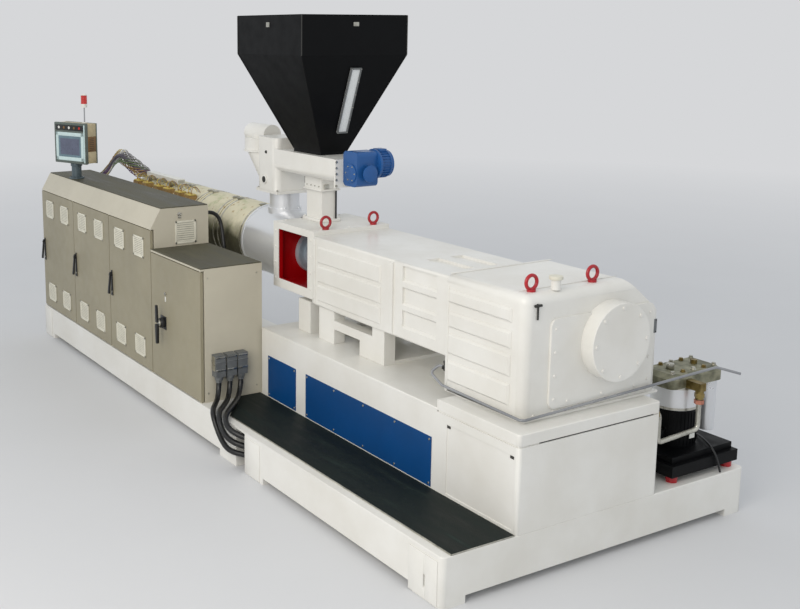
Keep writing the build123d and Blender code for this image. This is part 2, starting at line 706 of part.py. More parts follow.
# Bright return pipe from the stand to the pump head, with a fitting at each end.
pipe_r = 13.5
pipe_x = x_drive - 60
pipe_y0 = body_rear + 15
pipe_y1 = oil_y - 38
pipe_top = groove_z - 25
pipe_low = deck_z + 242
union_r = 22.0
union_len = 44.0
head_port_z = cooler_top + union_r
lube_z = hous_z0 - 50
lube_union = 22.0
with BuildPart() as oil_fittings:
    rod_y(body_rear, pipe_y0, pipe_x, pipe_top, union_r)
    block(head_x1, pipe_x + union_r, pipe_y1 - union_r, pipe_y1 + union_r,
          head_port_z - union_r, head_port_z + union_r)
    rod_z(head_port_z - union_r - union_len, head_port_z - union_r, pipe_x, pipe_y1, union_r)
    rod_x(gear_x0 - lube_union, gear_x0, gear_y0 + 22, lube_z, 14)
keep(oil_fittings.part, "oil_fittings")
with BuildPart() as oil_pipe:
    with BuildLine() as run:
        FilletPolyline(
            (pipe_x, pipe_y0, pipe_top),
            (pipe_x, pipe_y0 + 45, pipe_top),
            (pipe_x, pipe_y0 + 45, pipe_low),
            (pipe_x, pipe_y1, pipe_low + 19),
            (pipe_x, pipe_y1, head_port_z - union_r - union_len),
            radius=28,
        )
    with BuildSketch(Plane(origin=run.line @ 0, z_dir=run.line % 0)):
        Circle(pipe_r)
    sweep()
keep(oil_pipe.part, "oil_pipe")

# Thin oil line round the foot of the gearbox, from its inner face to the rear.
lube_r = 7.0
line_y = gear_y0 - 26
line_x = x_drive - 90
with BuildPart() as lube_pipe:
    with BuildLine() as run:
        FilletPolyline(
            (gear_x0 - lube_union, gear_y0 + 22, lube_z),
            (gear_x0 - 75, gear_y0 + 22, lube_z),
            (gear_x0 - 85, line_y, lube_z - 36),
            (gear_x0 + 10, line_y, stand_z + 34),
            (line_x, line_y, stand_z + 24),
            (line_x, y_rear - 170, stand_z + 70),
            (line_x + 80, y_rear - 74, stand_z + 40),
            radius=24,
        )
    with BuildSketch(Plane(origin=run.line @ 0, z_dir=run.line % 0)):
        Circle(lube_r)
    sweep()
keep(lube_pipe.part, "lube_pipe")


def cord(points, width):
    """Tube of straight runs and wide tangent arcs along hand-placed points."""
    spots = [Vector(*p) for p in points]
    runs = [b - a for a, b in zip(spots, spots[1:])]
    radii = []
    for a, b in zip(runs, runs[1:]):
        half = math.radians(a.get_angle(b)) / 2
        radii.append(0.45 * min(a.length, b.length) / math.tan(half))
    with BuildPart() as tube:
        with BuildLine() as route:
            FilletPolyline(*points, radius=radii)
        with BuildSketch(Plane(origin=route.line @ 0, z_dir=route.line % 0)):
            Circle(width / 2)
        sweep()
    length = sum(edge.length for edge in route.edges())
    share = tube.part.volume / (math.pi * width ** 2 / 4 * length)
    print("cord length", round(length), "least radius", round(min(radii)),
          "radii", [round(r) for r in radii], "volume share", round(share, 4))
    return tube.part


# Power cables from the hoods over the plinth's edge into the platform's pocket.
cable_d = 34.0
cable_routes = [
    [(331, -900, 428), (331, -900, 382), (345, -911, 339), (371, -930, 306), (404, -957, 290),
     (452, -994, 287), (500, -1030, 286), (545, -1054, 264), (583, -1058, 222),
     (624, -1058, 176), (674, -1058, 136), (734, -1055, 108), (790, -1034, 98), (840, -999, 95),
     (894, -968, 95), (972, -954, 95), (1080, -950, 95), (1180, -950, 95)],
    [(331, -820, 428), (331, -820, 382), (345, -831, 339), (371, -852, 306), (405, -879, 290),
     (454, -920, 288), (508, -966, 288), (556, -1010, 290), (601, -1043, 281),
     (641, -1057, 248), (680, -1058, 208), (732, -1056, 178), (788, -1035, 160),
     (840, -1000, 150), (894, -968, 146), (972, -953, 146), (1080, -948, 146),
     (1180, -948, 146)],
    [(331, -741, 428), (331, -741, 382), (345, -753, 339), (370, -775, 306), (404, -804, 290),
     (454, -847, 288), (512, -898, 288), (566, -946, 289), (614, -988, 290),
     (656, -1024, 286), (696, -1047, 268), (740, -1052, 242), (790, -1034, 221),
     (840, -1000, 206), (894, -968, 199), (972, -953, 197), (1080, -948, 197),
     (1180, -948, 197)],
]
for i, points in enumerate(cable_routes):
    keep(cord(points, cable_d), f"cable_{i + 1}")

# Control hose behind the cabinets and the heaters' wire loom above them.
hose_route = [(-516, -566, 1338), (-516, -526, 1338), (-512, -490, 1326), (-504, -464, 1302),
              (-495, -449, 1266), (-480, -445, 1206), (-462, -445, 1130), (-447, -446, 1062),
              (-438, -449, 1000), (-434, -462, 960), (-432, -488, 930), (-432, -526, 918),
              (-432, -566, 918)]
keep(cord(hose_route, 28.0), "hose")
loom_route = [(-2700, -566, 1330), (-2700, -522, 1330), (-2694, -474, 1348), (-2680, -434, 1386),
              (-2658, -404, 1436), (-2624, -386, 1486), (-2576, -374, 1524),
              (-2518, -364, 1540), (-2462, -352, 1528), (-2416, -332, 1496),
              (-2380, -302, 1458), (-2348, -268, 1428), (-2314, -233, 1411),
              (-2272, -217.5, 1405), (-2230, -217.5, 1405)]
keep(cord(loom_route, 36.0), "heater_loom")

os.makedirs("parts", exist_ok=True)
for name, part in pieces.items():
    export_step(part, f"parts/{name}.step")
print(len(pieces), "pieces")
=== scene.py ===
"""Looks of the plastic extruder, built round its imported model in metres."""

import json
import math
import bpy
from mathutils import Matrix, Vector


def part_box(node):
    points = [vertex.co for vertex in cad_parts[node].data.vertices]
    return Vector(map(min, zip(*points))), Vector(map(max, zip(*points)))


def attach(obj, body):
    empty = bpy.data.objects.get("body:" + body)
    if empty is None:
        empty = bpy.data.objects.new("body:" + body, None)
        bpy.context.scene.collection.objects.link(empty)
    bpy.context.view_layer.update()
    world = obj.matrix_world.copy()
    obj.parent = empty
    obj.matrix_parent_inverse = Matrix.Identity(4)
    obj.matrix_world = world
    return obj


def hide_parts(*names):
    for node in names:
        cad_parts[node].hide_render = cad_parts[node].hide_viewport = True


bl_info = {
    "name": "Plastic Extruder",
    "version": (1, 0, 0),
    "blender": (4, 5, 0),
    "location": "3D View > Sidebar > Extruder",
    "description": "Dresses the extruder's solids with its finishes, fittings and cables",
    "category": "Object",
}

import bmesh
import bpy
from bpy.props import FloatProperty, FloatVectorProperty, IntProperty, PointerProperty
from mathutils import Matrix, Vector

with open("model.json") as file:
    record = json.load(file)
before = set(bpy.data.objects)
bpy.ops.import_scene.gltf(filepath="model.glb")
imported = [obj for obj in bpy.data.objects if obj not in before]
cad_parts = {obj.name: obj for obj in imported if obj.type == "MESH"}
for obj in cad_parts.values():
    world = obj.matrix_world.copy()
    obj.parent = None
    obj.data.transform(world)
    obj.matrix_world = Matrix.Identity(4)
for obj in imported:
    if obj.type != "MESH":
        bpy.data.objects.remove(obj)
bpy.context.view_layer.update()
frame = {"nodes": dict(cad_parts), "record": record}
NODES = frame["nodes"]
SLOT_OF = {part["node"]: part["material_slot"] for part in frame["record"]["subparts"]}
FINISHES = {}


def tone(red, green, blue):
    """Linear colour of a paint given as it looks, from 0 to 255."""
    return tuple(((c / 255 + 0.055) / 1.055) ** 2.4 if c > 10 else c / 3294.6
                 for c in (red, green, blue))


def colour(name, text, *shade):
    """Colour property with a default given as it looks."""
    return FloatVectorProperty(name=name, description=text, size=3, subtype="COLOR",
                               min=0.0, max=1.0, default=tone(*shade))


def length(name, text, metres):
    """Length property in metres."""
    return FloatProperty(name=name, description=text, default=metres, min=0.0,
                         subtype="DISTANCE", unit="LENGTH")


class ExtruderColours(bpy.types.PropertyGroup):
    """Paints and plastics of the machine."""
    ivory: colour("Ivory paint", "Paint of the base, housings and gearbox", 231, 230, 225)
    ivory_shade: colour("Ivory shade", "Darker patches in the ivory paint", 222, 220, 213)
    doors: colour("Door paint", "Olive-beige paint of the cabinet doors", 152, 145, 122)
    shell: colour("Cabinet paint", "Cream-grey paint of the cabinets", 197, 191, 173)
    blue: colour("Panel blue", "Paint of the panels in the pedestal", 10, 68, 124)
    motor_blue: colour("Motor blue", "Paint of the feeder's drive", 30, 86, 150)
    red: colour("Red paint", "Paint of eye bolts, feet and the coupling box", 176, 16, 30)
    black: colour("Black paint", "Paint of the hopper and the oil tank", 8, 9, 11)
    mat: colour("Mat rubber", "Dark mat on the step", 20, 27, 25)
    dust: colour("Cabinet mats", "Dusty mats on the cabinets", 72, 70, 56)
    cover: colour("Barrel cover", "Cream cover on top of the barrel", 212, 206, 180)
    # Painted shade: the dark colour of the cover's lower half stands in for the shade under the
    # barrel.
    cover_painted_shade: colour("Barrel cover below", "Dark lower half of the barrel", 74, 72, 50)
    grille: colour("Grille plastic", "Off-white ventilation grilles", 222, 219, 203)
    floor: colour("Floor", "Plain pale floor under the machine", 214, 215, 217)
    sky: colour("Sky", "Cool tint of the even light", 249, 252, 255)
    key: colour("Key tint", "Warm tint of the key lamp", 255, 248, 238)


class ExtruderSizes(bpy.types.PropertyGroup):
    """Sizes of the fittings that are added to the solids."""
    slats: IntProperty(name="Grille slats", description="Slats in one door grille",
                       default=9, min=3, max=30)
    grille_rim: length("Grille rim", "Width of the rim round a grille", 0.014)
    screw: length("Screw head", "Radius of the panel screws", 0.007)
    strap: length("Strap width", "Width of the straps round the barrel", 0.014)
    seam: length("Seam width", "Width of the seams on the hopper", 0.006)
    edge: length("Edge rounding", "Rounding of the housings' sharp edges", 0.0025)
    fins: IntProperty(name="Motor fins", description="Cooling fins round the feeder's motor",
                      default=28, min=6, max=60)
    wires: IntProperty(name="Heater wires", description="Loose wires beside the loom",
                       default=36, min=2, max=40)
    key_light: FloatProperty(name="Key light", description="Power of the large key lamp",
                             default=268.0, min=0.0, subtype="POWER", unit="POWER")
    sky_light: FloatProperty(name="Sky light", description="Strength of the even light",
                             default=0.76, min=0.0)


def colours():
    return bpy.context.scene.extruder_colours


def sizes():
    return bpy.context.scene.extruder_sizes


# Finishes -----------------------------------------------------------------------------

def wire_up(material):
    """Node tree of a new material with its shader and Object coordinates."""
    material.use_nodes = True
    tree = material.node_tree
    shader = tree.nodes["Principled BSDF"]
    place = tree.nodes.new("ShaderNodeTexCoord")
    return tree, shader, place.outputs["Object"]


def new_finish(name):
    """Makes and registers a material, and gives its tree, shader and coordinates."""
    FINISHES[name] = bpy.data.materials.new(name)
    return wire_up(FINISHES[name])


def cloud(tree, place, scale, detail=5.0, rough=0.55, stretch=None):
    """Noise on the piece, stretched along its axes where asked."""
    noise = tree.nodes.new("ShaderNodeTexNoise")
    noise.inputs["Scale"].default_value = scale
    noise.inputs["Detail"].default_value = detail
    noise.inputs["Roughness"].default_value = rough
    if stretch:
        mapping = tree.nodes.new("ShaderNodeMapping")
        mapping.inputs["Scale"].default_value = stretch
        tree.links.new(place, mapping.inputs["Vector"])
        place = mapping.outputs["Vector"]
    tree.links.new(place, noise.inputs["Vector"])
    return noise.outputs["Fac"]


def ramp(tree, value, *stops):
    """Colour ramp with (place, colour) stops."""
    node = tree.nodes.new("ShaderNodeValToRGB")
    elements = node.color_ramp.elements
    while len(elements) < len(stops):
        elements.new(0.5)
    for element, (where, shade) in zip(elements, stops):
        element.position = where
        element.color = (*shade, 1.0)
    tree.links.new(value, node.inputs["Fac"])
    return node.outputs["Color"]


def span(tree, value, low, high):
    """Value stretched from its middle range to low and high."""
    node = tree.nodes.new("ShaderNodeMapRange")
    node.inputs["From Min"].default_value = 0.3
    node.inputs["From Max"].default_value = 0.7
    node.inputs["To Min"].default_value = low
    node.inputs["To Max"].default_value = high
    tree.links.new(value, node.inputs["Value"])
    return node.outputs["Result"]


def blend_in(tree, mask, under, over):
    """Colour over laid on colour under where the mask is 1."""
    node = tree.nodes.new("ShaderNodeMix")
    node.data_type = "RGBA"
    tree.links.new(mask, node.inputs["Factor"])
    for value, socket in ((under, node.inputs[6]), (over, node.inputs[7])):
        if isinstance(value, bpy.types.NodeSocket):
            tree.links.new(value, socket)
        else:
            socket.default_value = (*value, 1.0)
    return node.outputs[2]


def bumps(tree, shader, value, strength, distance=0.001):
    """Fine relief on the shader from a value."""
    node = tree.nodes.new("ShaderNodeBump")
    node.inputs["Strength"].default_value = strength
    node.inputs["Distance"].default_value = distance
    tree.links.new(value, node.inputs["Height"])
    tree.links.new(node.outputs["Normal"], shader.inputs["Normal"])


def step_mask(tree, place, axis, limit, soft, wobble=0.0):
    """Mask that grows from 0 to 1 as the coordinate passes the limit."""
    split = tree.nodes.new("ShaderNodeSeparateXYZ")
    tree.links.new(place, split.inputs[0])
    value = split.outputs[axis]
    if wobble:
        shift = tree.nodes.new("ShaderNodeMath")
        shift.operation = "MULTIPLY_ADD"
        tree.links.new(cloud(tree, place, 9.0), shift.inputs[0])
        shift.inputs[1].default_value = wobble
        tree.links.new(value, shift.inputs[2])
        value = shift.outputs[0]
        limit = limit + wobble / 2
    node = tree.nodes.new("ShaderNodeMapRange")
    node.inputs["From Min"].default_value = limit - soft
    node.inputs["From Max"].default_value = limit + soft
    tree.links.new(value, node.inputs["Value"])
    return node.outputs["Result"]


def paint(name, top, shade, rough, grain=0.06, coat=0.0, scale=2.2, gloss=0.5):
    """Sprayed paint with soft patches and a fine grain."""
    tree, shader, place = new_finish(name)
    body = ramp(tree, cloud(tree, place, scale), (0.36, shade), (0.62, top))
    tree.links.new(body, shader.inputs["Base Color"])
    tree.links.new(span(tree, cloud(tree, place, 12.0), rough - 0.06, rough + 0.08),
                   shader.inputs["Roughness"])
    bumps(tree, shader, cloud(tree, place, 260.0, 3.0), grain)
    shader.inputs["Specular IOR Level"].default_value = gloss
    shader.inputs["Coat Weight"].default_value = coat
    shader.inputs["Coat Roughness"].default_value = 0.15


def metal(name, top, shade, rough, scale=6.0, grain=0.03, metallic=1.0):
    """Bare metal with soft patches and a grain."""
    tree, shader, place = new_finish(name)
    body = ramp(tree, cloud(tree, place, scale), (0.35, shade), (0.65, top))
    tree.links.new(body, shader.inputs["Base Color"])
    shader.inputs["Metallic"].default_value = metallic
    tree.links.new(span(tree, cloud(tree, place, scale * 4), rough - 0.07, rough + 0.09),
                   shader.inputs["Roughness"])
    bumps(tree, shader, cloud(tree, place, 120.0, 4.0), grain)


def plain(name, shade, rough, metallic=0.0, variation=0.85, scale=20.0):
    """Moulded plastic or small hardware of one colour with slight wear."""
    tree, shader, place = new_finish(name)
    worn = tuple(c * variation for c in shade)
    body = ramp(tree, cloud(tree, place, scale), (0.38, worn), (0.6, shade))
    tree.links.new(body, shader.inputs["Base Color"])
    tree.links.new(span(tree, cloud(tree, place, scale * 3), rough - 0.05, rough + 0.08),
                   shader.inputs["Roughness"])
    shader.inputs["Metallic"].default_value = metallic


def red_inside(name, top, shade, red, node):
    """Ivory box whose inner walls and window edges are red."""
    paint(name, top, shade, 0.34)
    tree = FINISHES[name].node_tree
    shader = tree.nodes["Principled BSDF"]
    body = shader.inputs["Base Color"].links[0].from_socket
    low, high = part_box(node)
    place = tree.nodes.new("ShaderNodeTexCoord").outputs["Object"]
    centre = tree.nodes.new("ShaderNodeMapping")
    half = (high - low) / 2
    middle = (high + low) / 2
    centre.inputs["Location"].default_value = tuple(-m / h for m, h in zip(middle, half))
    centre.inputs["Scale"].default_value = tuple(1 / h for h in half)
    tree.links.new(place, centre.inputs["Vector"])
    whole = tree.nodes.new("ShaderNodeVectorMath")
    whole.operation = "ABSOLUTE"
    tree.links.new(centre.outputs["Vector"], whole.inputs[0])
    split = tree.nodes.new("ShaderNodeSeparateXYZ")
    tree.links.new(whole.outputs["Vector"], split.inputs[0])
    largest = split.outputs[0]
    for axis in (1, 2):
        more = tree.nodes.new("ShaderNodeMath")
        more.operation = "MAXIMUM"
        tree.links.new(largest, more.inputs[0])
        tree.links.new(split.outputs[axis], more.inputs[1])
        largest = more.outputs[0]
    inner = tree.nodes.new("ShaderNodeMath")
    inner.operation = "LESS_THAN"
    inner.inputs[1].default_value = 0.982
    tree.links.new(largest, inner.inputs[0])
    reds = ramp(tree, cloud(tree, place, 5.0), (0.3, tuple(c * 0.85 for c in red)),
                (0.65, red))
    tree.links.new(blend_in(tree, inner.outputs[0], body, reds), shader.inputs["Base Color"])
    shader.inputs["Specular IOR Level"].default_value = 0.25


def barrel_cover(name, cream, painted_shade_below):
    """Insulating cover: cream and mottled on top, darkened below by painted shade."""
    tree, shader, place = new_finish(name)
    green = tuple(a * b for a, b in zip(cream, (0.70, 0.78, 0.62)))
    top = ramp(tree, cloud(tree, place, 8.0, 8.0, 0.65), (0.34, green), (0.46, cream),
               (0.66, tuple(min(1.0, c * 1.08) for c in cream)))
    brown = tuple(a * b for a, b in zip(cream, (0.62, 0.48, 0.30)))
    stains = ramp(tree, cloud(tree, place, 17.0, 6.0, 0.6), (0.60, (0, 0, 0)),
                  (0.70, (1, 1, 1)))
    top = blend_in(tree, stains, top, brown)
    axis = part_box("barrel_jackets")
    middle = (axis[0].z + axis[1].z) / 2
    # Painted shade: the cover is darkened below a wavy line just above the barrel's axis.
    low = ramp(tree, cloud(tree, place, 6.0), (0.3, tuple(c * 0.6 for c in painted_shade_below)),
               (0.7, painted_shade_below))
    mask = step_mask(tree, place, "Z", middle + 0.07, 0.055, 0.12)
    tree.links.new(blend_in(tree, mask, low, top), shader.inputs["Base Color"])
    tree.links.new(span(tree, cloud(tree, place, 30.0), 0.62, 0.85),
                   shader.inputs["Roughness"])
    bumps(tree, shader, cloud(tree, place, 45.0, 6.0), 0.5, 0.003)


def worn_mat(name, dark, wear=3.4, gloss=0.15):
    """Ribbed rubber mat with dull worn streaks along the machine."""
    tree, shader, place = new_finish(name)
    streaks = cloud(tree, place, 3.2, 7.0, 0.62, stretch=(0.7, 5.0, 1.0))
    pale = tuple(c * wear for c in dark)
    body = ramp(tree, streaks, (0.40, dark), (0.60, tuple(c * 1.6 for c in dark)),
                (0.78, pale))
    tree.links.new(body, shader.inputs["Base Color"])
    tree.links.new(span(tree, streaks, 0.42, 0.7), shader.inputs["Roughness"])
    wave = tree.nodes.new("ShaderNodeTexWave")
    wave.bands_direction = "Y"
    wave.inputs["Scale"].default_value = 38.0
    tree.links.new(place, wave.inputs["Vector"])
    bumps(tree, shader, wave.outputs["Fac"], 0.5, 0.0015)
    shader.inputs["Specular IOR Level"].default_value = gloss


def glass(name, shade):
    """Coated pane of the sight glass, pale from the granules behind it."""
    tree, shader, place = new_finish(name)
    body = ramp(tree, cloud(tree, place, 160.0, 2.0), (0.3, tuple(c * 0.85 for c in shade)),
                (0.6, shade))
    tree.links.new(body, shader.inputs["Base Color"])
    tree.links.new(span(tree, cloud(tree, place, 20.0), 0.05, 0.14),
                   shader.inputs["Roughness"])
    shader.inputs["Coat Weight"].default_value = 1.0
    shader.inputs["Coat Roughness"].default_value = 0.05


def lens(name, shade):
    """Red lens of the signal lamp."""
    tree, shader, place = new_finish(name)
    body = ramp(tree, cloud(tree, place, 60.0), (0.3, tuple(c * 0.8 for c in shade)),
                (0.7, shade))
    tree.links.new(body, shader.inputs["Base Color"])
    tree.links.new(span(tree, cloud(tree, place, 40.0), 0.12, 0.2),
                   shader.inputs["Roughness"])
    shader.inputs["Subsurface Weight"].default_value = 0.15
    shader.inputs["Coat Weight"].default_value = 0.8


def fade_out(tree, shader, place, shade, near, far):
    """Lets the floor pass into the plain background with its distance."""
    reach = tree.nodes.new("ShaderNodeVectorMath")
    reach.operation = "LENGTH"
    tree.links.new(place, reach.inputs[0])
    mask = tree.nodes.new("ShaderNodeMapRange")
    mask.inputs["From Min"].default_value = near
    mask.inputs["From Max"].default_value = far
    tree.links.new(reach.outputs["Value"], mask.inputs["Value"])
    glow = tree.nodes.new("ShaderNodeEmission")
    glow.inputs["Color"].default_value = (*shade, 1.0)
    mix = tree.nodes.new("ShaderNodeMixShader")
    tree.links.new(mask.outputs["Result"], mix.inputs[0])
    tree.links.new(shader.outputs["BSDF"], mix.inputs[1])
    tree.links.new(glow.outputs["Emission"], mix.inputs[2])
    tree.links.new(mix.outputs[0], tree.nodes["Material Output"].inputs["Surface"])


def make_finishes():
    """All finishes of the machine, by slot name and for small parts."""
    c = colours()
    ivory, shade = tuple(c.ivory), tuple(c.ivory_shade)
    paint("ivory_paint", ivory, shade, 0.34, coat=0.15)
    red_inside("ivory_box", ivory, shade, tone(166, 5, 12), "coupling_box")
    doors, shell = tuple(c.doors), tuple(c.shell)
    paint("cabinet_paint", doors, tuple(v * 0.90 for v in doors), 0.42, grain=0.12)
    paint("cabinet_shell_paint", shell, tuple(v * 0.92 for v in shell), 0.42, grain=0.12)
    blue, motor = tuple(c.blue), tuple(c.motor_blue)
    paint("blue_paint", blue, tuple(v * 0.84 for v in blue), 0.4, gloss=0.2)
    paint("motor_blue_paint", motor, tuple(v * 0.8 for v in motor), 0.34, coat=0.15,
          gloss=0.4)
    red, black = tuple(c.red), tuple(c.black)
    paint("red_paint", red, tuple(v * 0.75 for v in red), 0.28, coat=0.3)
    paint("black_paint", black, tuple(v * 0.7 for v in black), 0.45, gloss=0.12)
    metal("grey_casting", tone(158, 156, 134), tone(104, 104, 86), 0.55, scale=18.0,
          grain=0.35, metallic=0.7)
    metal("polished_steel", tone(230, 231, 233), tone(222, 224, 227), 0.3, scale=0.8,
          grain=0.0, metallic=0.6)
    metal("coupling_steel", tone(186, 198, 206), tone(150, 164, 174), 0.4, metallic=0.3)
    metal("zinc_steel", tone(208, 206, 196), tone(166, 164, 154), 0.3, scale=14.0)
    metal("brass", tone(158, 140, 90), tone(112, 95, 54), 0.36, scale=22.0)
    metal("copper", tone(214, 150, 128), tone(170, 106, 88), 0.36, scale=22.0)
    barrel_cover("jacket_cover", tuple(c.cover), tuple(c.cover_painted_shade))
    worn_mat("mat_rubber", tuple(c.mat))
    worn_mat("dusty_mat", tuple(c.dust), wear=1.9, gloss=0.3)
    plain("grille_plastic", tuple(c.grille), 0.5, variation=0.93)
    # Darkened grille plastic, used as painted shade behind the grille slats and inside the slotted
    # duct.
    plain("painted_shade_grey", tuple(v * 0.62 for v in c.grille), 0.6)
    plain("black_plastic", tone(24, 25, 27), 0.38)
    plain("terminal_plastic", tone(188, 174, 140), 0.5, variation=0.9)
    plain("terminal_brown", tone(124, 92, 52), 0.5, variation=0.8)
    plain("terminal_dark", tone(92, 102, 96), 0.5)
    plain("terminal_bezel", tone(200, 220, 220), 0.42, variation=0.94)
    plain("terminal_screen", tone(104, 128, 140), 0.3, variation=0.85, scale=6.0)
    plain("screen_glow", tone(92, 98, 118), 0.3, variation=0.85, scale=14.0)
    lens("lamp_lens", tone(206, 30, 22))
    plain("white_plastic", tone(228, 228, 222), 0.42, variation=0.93)
    plain("button_red", tone(200, 34, 26), 0.4)
    plain("socket_grey", tone(118, 121, 122), 0.46, 0.35)
    plain("cable_jacket", tone(22, 23, 24), 0.30)
    plain("wire_sleeve", tone(94, 88, 100), 0.6)
    plain("brown_terminals", tone(164, 132, 80), 0.5, variation=0.7, scale=28.0)
    glass("sight_glass", tone(226, 230, 230))
    paint("grey_pipe", tone(150, 152, 156), tone(126, 128, 132), 0.3)
    plain("post_blue_grey", tone(82, 96, 102), 0.42, 0.2)
    plain("dark_steel", tone(64, 64, 62), 0.42, 0.6)
    plain("shadow_gap", tone(58, 57, 54), 0.7)
    plain("wire_grey", tone(150, 148, 150), 0.5)
    plain("wire_purple", tone(112, 84, 120), 0.5)
    plain("wire_green", tone(110, 132, 84), 0.5)
    plain("wire_yellow", tone(206, 184, 96), 0.5)


# Shapes -------------------------------------------------------------------------------

def colour_faces(verts, index):
    """Gives the faces of these vertices one of the piece's materials."""
    for vert in verts:
        for face in vert.link_faces:
            face.material_index = index


def soften(bm, verts, width):
    """Rounds all edges between these vertices."""
    edges = {edge for vert in verts for edge in vert.link_edges}
    bmesh.ops.bevel(bm, geom=list(edges), offset=width, offset_type="OFFSET",
                    segments=2, profile=0.5, affect="EDGES", material=-1,
                    clamp_overlap=True)


def slab(bm, low, high, round_by=0.0, index=0):
    """Box between two corners."""
    low, high = Vector(low), Vector(high)
    where = Matrix.Translation((low + high) / 2)
    made = bmesh.ops.create_cube(bm, size=1.0,
                                 matrix=where @ Matrix.Diagonal((*(high - low), 1.0)))
    colour_faces(made["verts"], index)
    if round_by:
        soften(bm, made["verts"], round_by)
    return made["verts"]


def rod(bm, start, end, radius, end_radius=None, sides=24, index=0, round_by=0.0):
    """Round bar or cone between two points."""
    start, end = Vector(start), Vector(end)
    way = end - start
    turn = way.to_track_quat("Z", "Y").to_matrix().to_4x4()
    where = Matrix.Translation((start + end) / 2) @ turn
    made = bmesh.ops.create_cone(bm, cap_ends=True, cap_tris=False, segments=sides,
                                 radius1=radius,
                                 radius2=radius if end_radius is None else end_radius,
                                 depth=way.length, matrix=where)
    colour_faces(made["verts"], index)
    if round_by:
        rims = [e for v in made["verts"] for e in v.link_edges
                if len(e.link_faces) == 2 and max(len(f.verts) for f in e.link_faces) > 4]
        bmesh.ops.bevel(bm, geom=list(set(rims)), offset=round_by, offset_type="OFFSET",
                        segments=2, profile=0.5, affect="EDGES", material=-1,
                        clamp_overlap=True)
    return made["verts"]


def hoop(bm, centre, axis, radius, bar, steps=36, sides=10, index=0):
    """Closed ring of round bar."""
    centre, axis = Vector(centre), Vector(axis).normalized()
    out = axis.orthogonal().normalized()
    made = bmesh.ops.create_circle(
        bm, segments=sides, radius=bar,
        matrix=Matrix.Translation(centre + out * radius)
        @ axis.cross(out).to_track_quat("Z", "Y").to_matrix().to_4x4())
    colour_faces(made["verts"], index)
    edges = list({edge for vert in made["verts"] for edge in vert.link_edges})
    bmesh.ops.spin(bm, geom=made["verts"] + edges, cent=centre, axis=axis, dvec=(0, 0, 0),
                   angle=math.tau, steps=steps, use_merge=True)
    bmesh.ops.remove_doubles(bm, verts=bm.verts[:], dist=1e-6)


def band(bm, start, end, inner, outer, sides=64):
    """Flat ring along an axis, as a strap or a flange."""
    start, end = Vector(start), Vector(end)
    axis = (end - start).normalized()
    out = axis.orthogonal().normalized()
    corners = [start + out * inner, end + out * inner, end + out * outer, start + out * outer]
    verts = [bm.verts.new(corner) for corner in corners]
    edges = [bm.edges.new((verts[i], verts[(i + 1) % 4])) for i in range(4)]
    bmesh.ops.spin(bm, geom=verts + edges, cent=start, axis=axis, dvec=(0, 0, 0),
                   angle=math.tau, steps=sides, use_merge=True)


def hex_head(bm, base, axis, radius, height, index=0):
    """Bolt head with a washer under it."""
    base, axis = Vector(base), Vector(axis).normalized()
    rod(bm, base, base + axis * height * 0.3, radius * 1.3, sides=16, index=index)
    rod(bm, base + axis * height * 0.25, base + axis * height, radius, sides=6, index=index)


def cap_head(bm, base, axis, radius, height, index=0):
    """Plain round screw head."""
    base, axis = Vector(base), Vector(axis).normalized()
    rod(bm, base, base + axis * height, radius, radius * 0.8, sides=12, index=index)


def around(count, radius, start=0.0):
    """Offsets of points spread evenly on a circle."""
    for k in range(count):
        a = math.tau * (k + start) / count
        yield radius * math.cos(a), radius * math.sin(a)


def spread(low, high, count):
    """Evenly spaced values from low to high."""
    return [low + k * (high - low) / (count - 1) for k in range(count)]


def piece(bm, name, finishes, body="frame", stands_for=()):
    """Turns a mesh into a finished piece that rides on a body."""
    bmesh.ops.recalc_face_normals(bm, faces=bm.faces[:])
    mesh = bpy.data.meshes.new(name)
    bm.to_mesh(mesh)
    bm.free()
    for finish in finishes:
        mesh.materials.append(FINISHES[finish])
    mesh.polygons.foreach_set("use_smooth", [True] * len(mesh.polygons))
    mesh.set_sharp_from_angle(angle=math.radians(35.0))
    obj = bpy.data.objects.new(name, mesh)
    bpy.context.scene.collection.objects.link(obj)
    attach(obj, body)
    if stands_for:
        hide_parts(*stands_for)
    return obj


def line(name, runs, width, finishes):
    """Curve tubes along given points, one finish a run."""
    curve = bpy.data.curves.new(name, "CURVE")
    curve.dimensions = "3D"
    curve.bevel_depth = width / 2
    curve.bevel_resolution = 4
    curve.use_fill_caps = True
    curve.resolution_u = 6
    for finish in finishes:
        curve.materials.append(FINISHES[finish])
    for i, points in enumerate(runs):
        spline = curve.splines.new("NURBS")
        spline.points.add(len(points) - 1)
        for point, spot in zip(spline.points, points):
            point.co = (*spot, 1.0)
        spline.order_u = 3
        spline.use_endpoint_u = True
        spline.material_index = i % len(finishes)
    obj = bpy.data.objects.new(name, curve)
    bpy.context.scene.collection.objects.link(obj)
    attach(obj, "frame")
    return obj


def metres(points):
    """Points given in millimetres, in metres."""
    return [tuple(value / 1000 for value in spot) for spot in points]


# Pieces -------------------------------------------------------------------------------

SOFT_EDGED = {"gearbox", "gearbox_stand", "pedestal", "platform", "plinth", "coupling_box",
              "housing_plain", "housing_slotted", "housing_support", "feeder_housing",
              "feeder_column", "cabinet_tall", "cabinet_low", "side_panels", "end_cover"}

WIDE_EDGED = {"gearbox", "housing_plain", "housing_slotted", "coupling_box"}


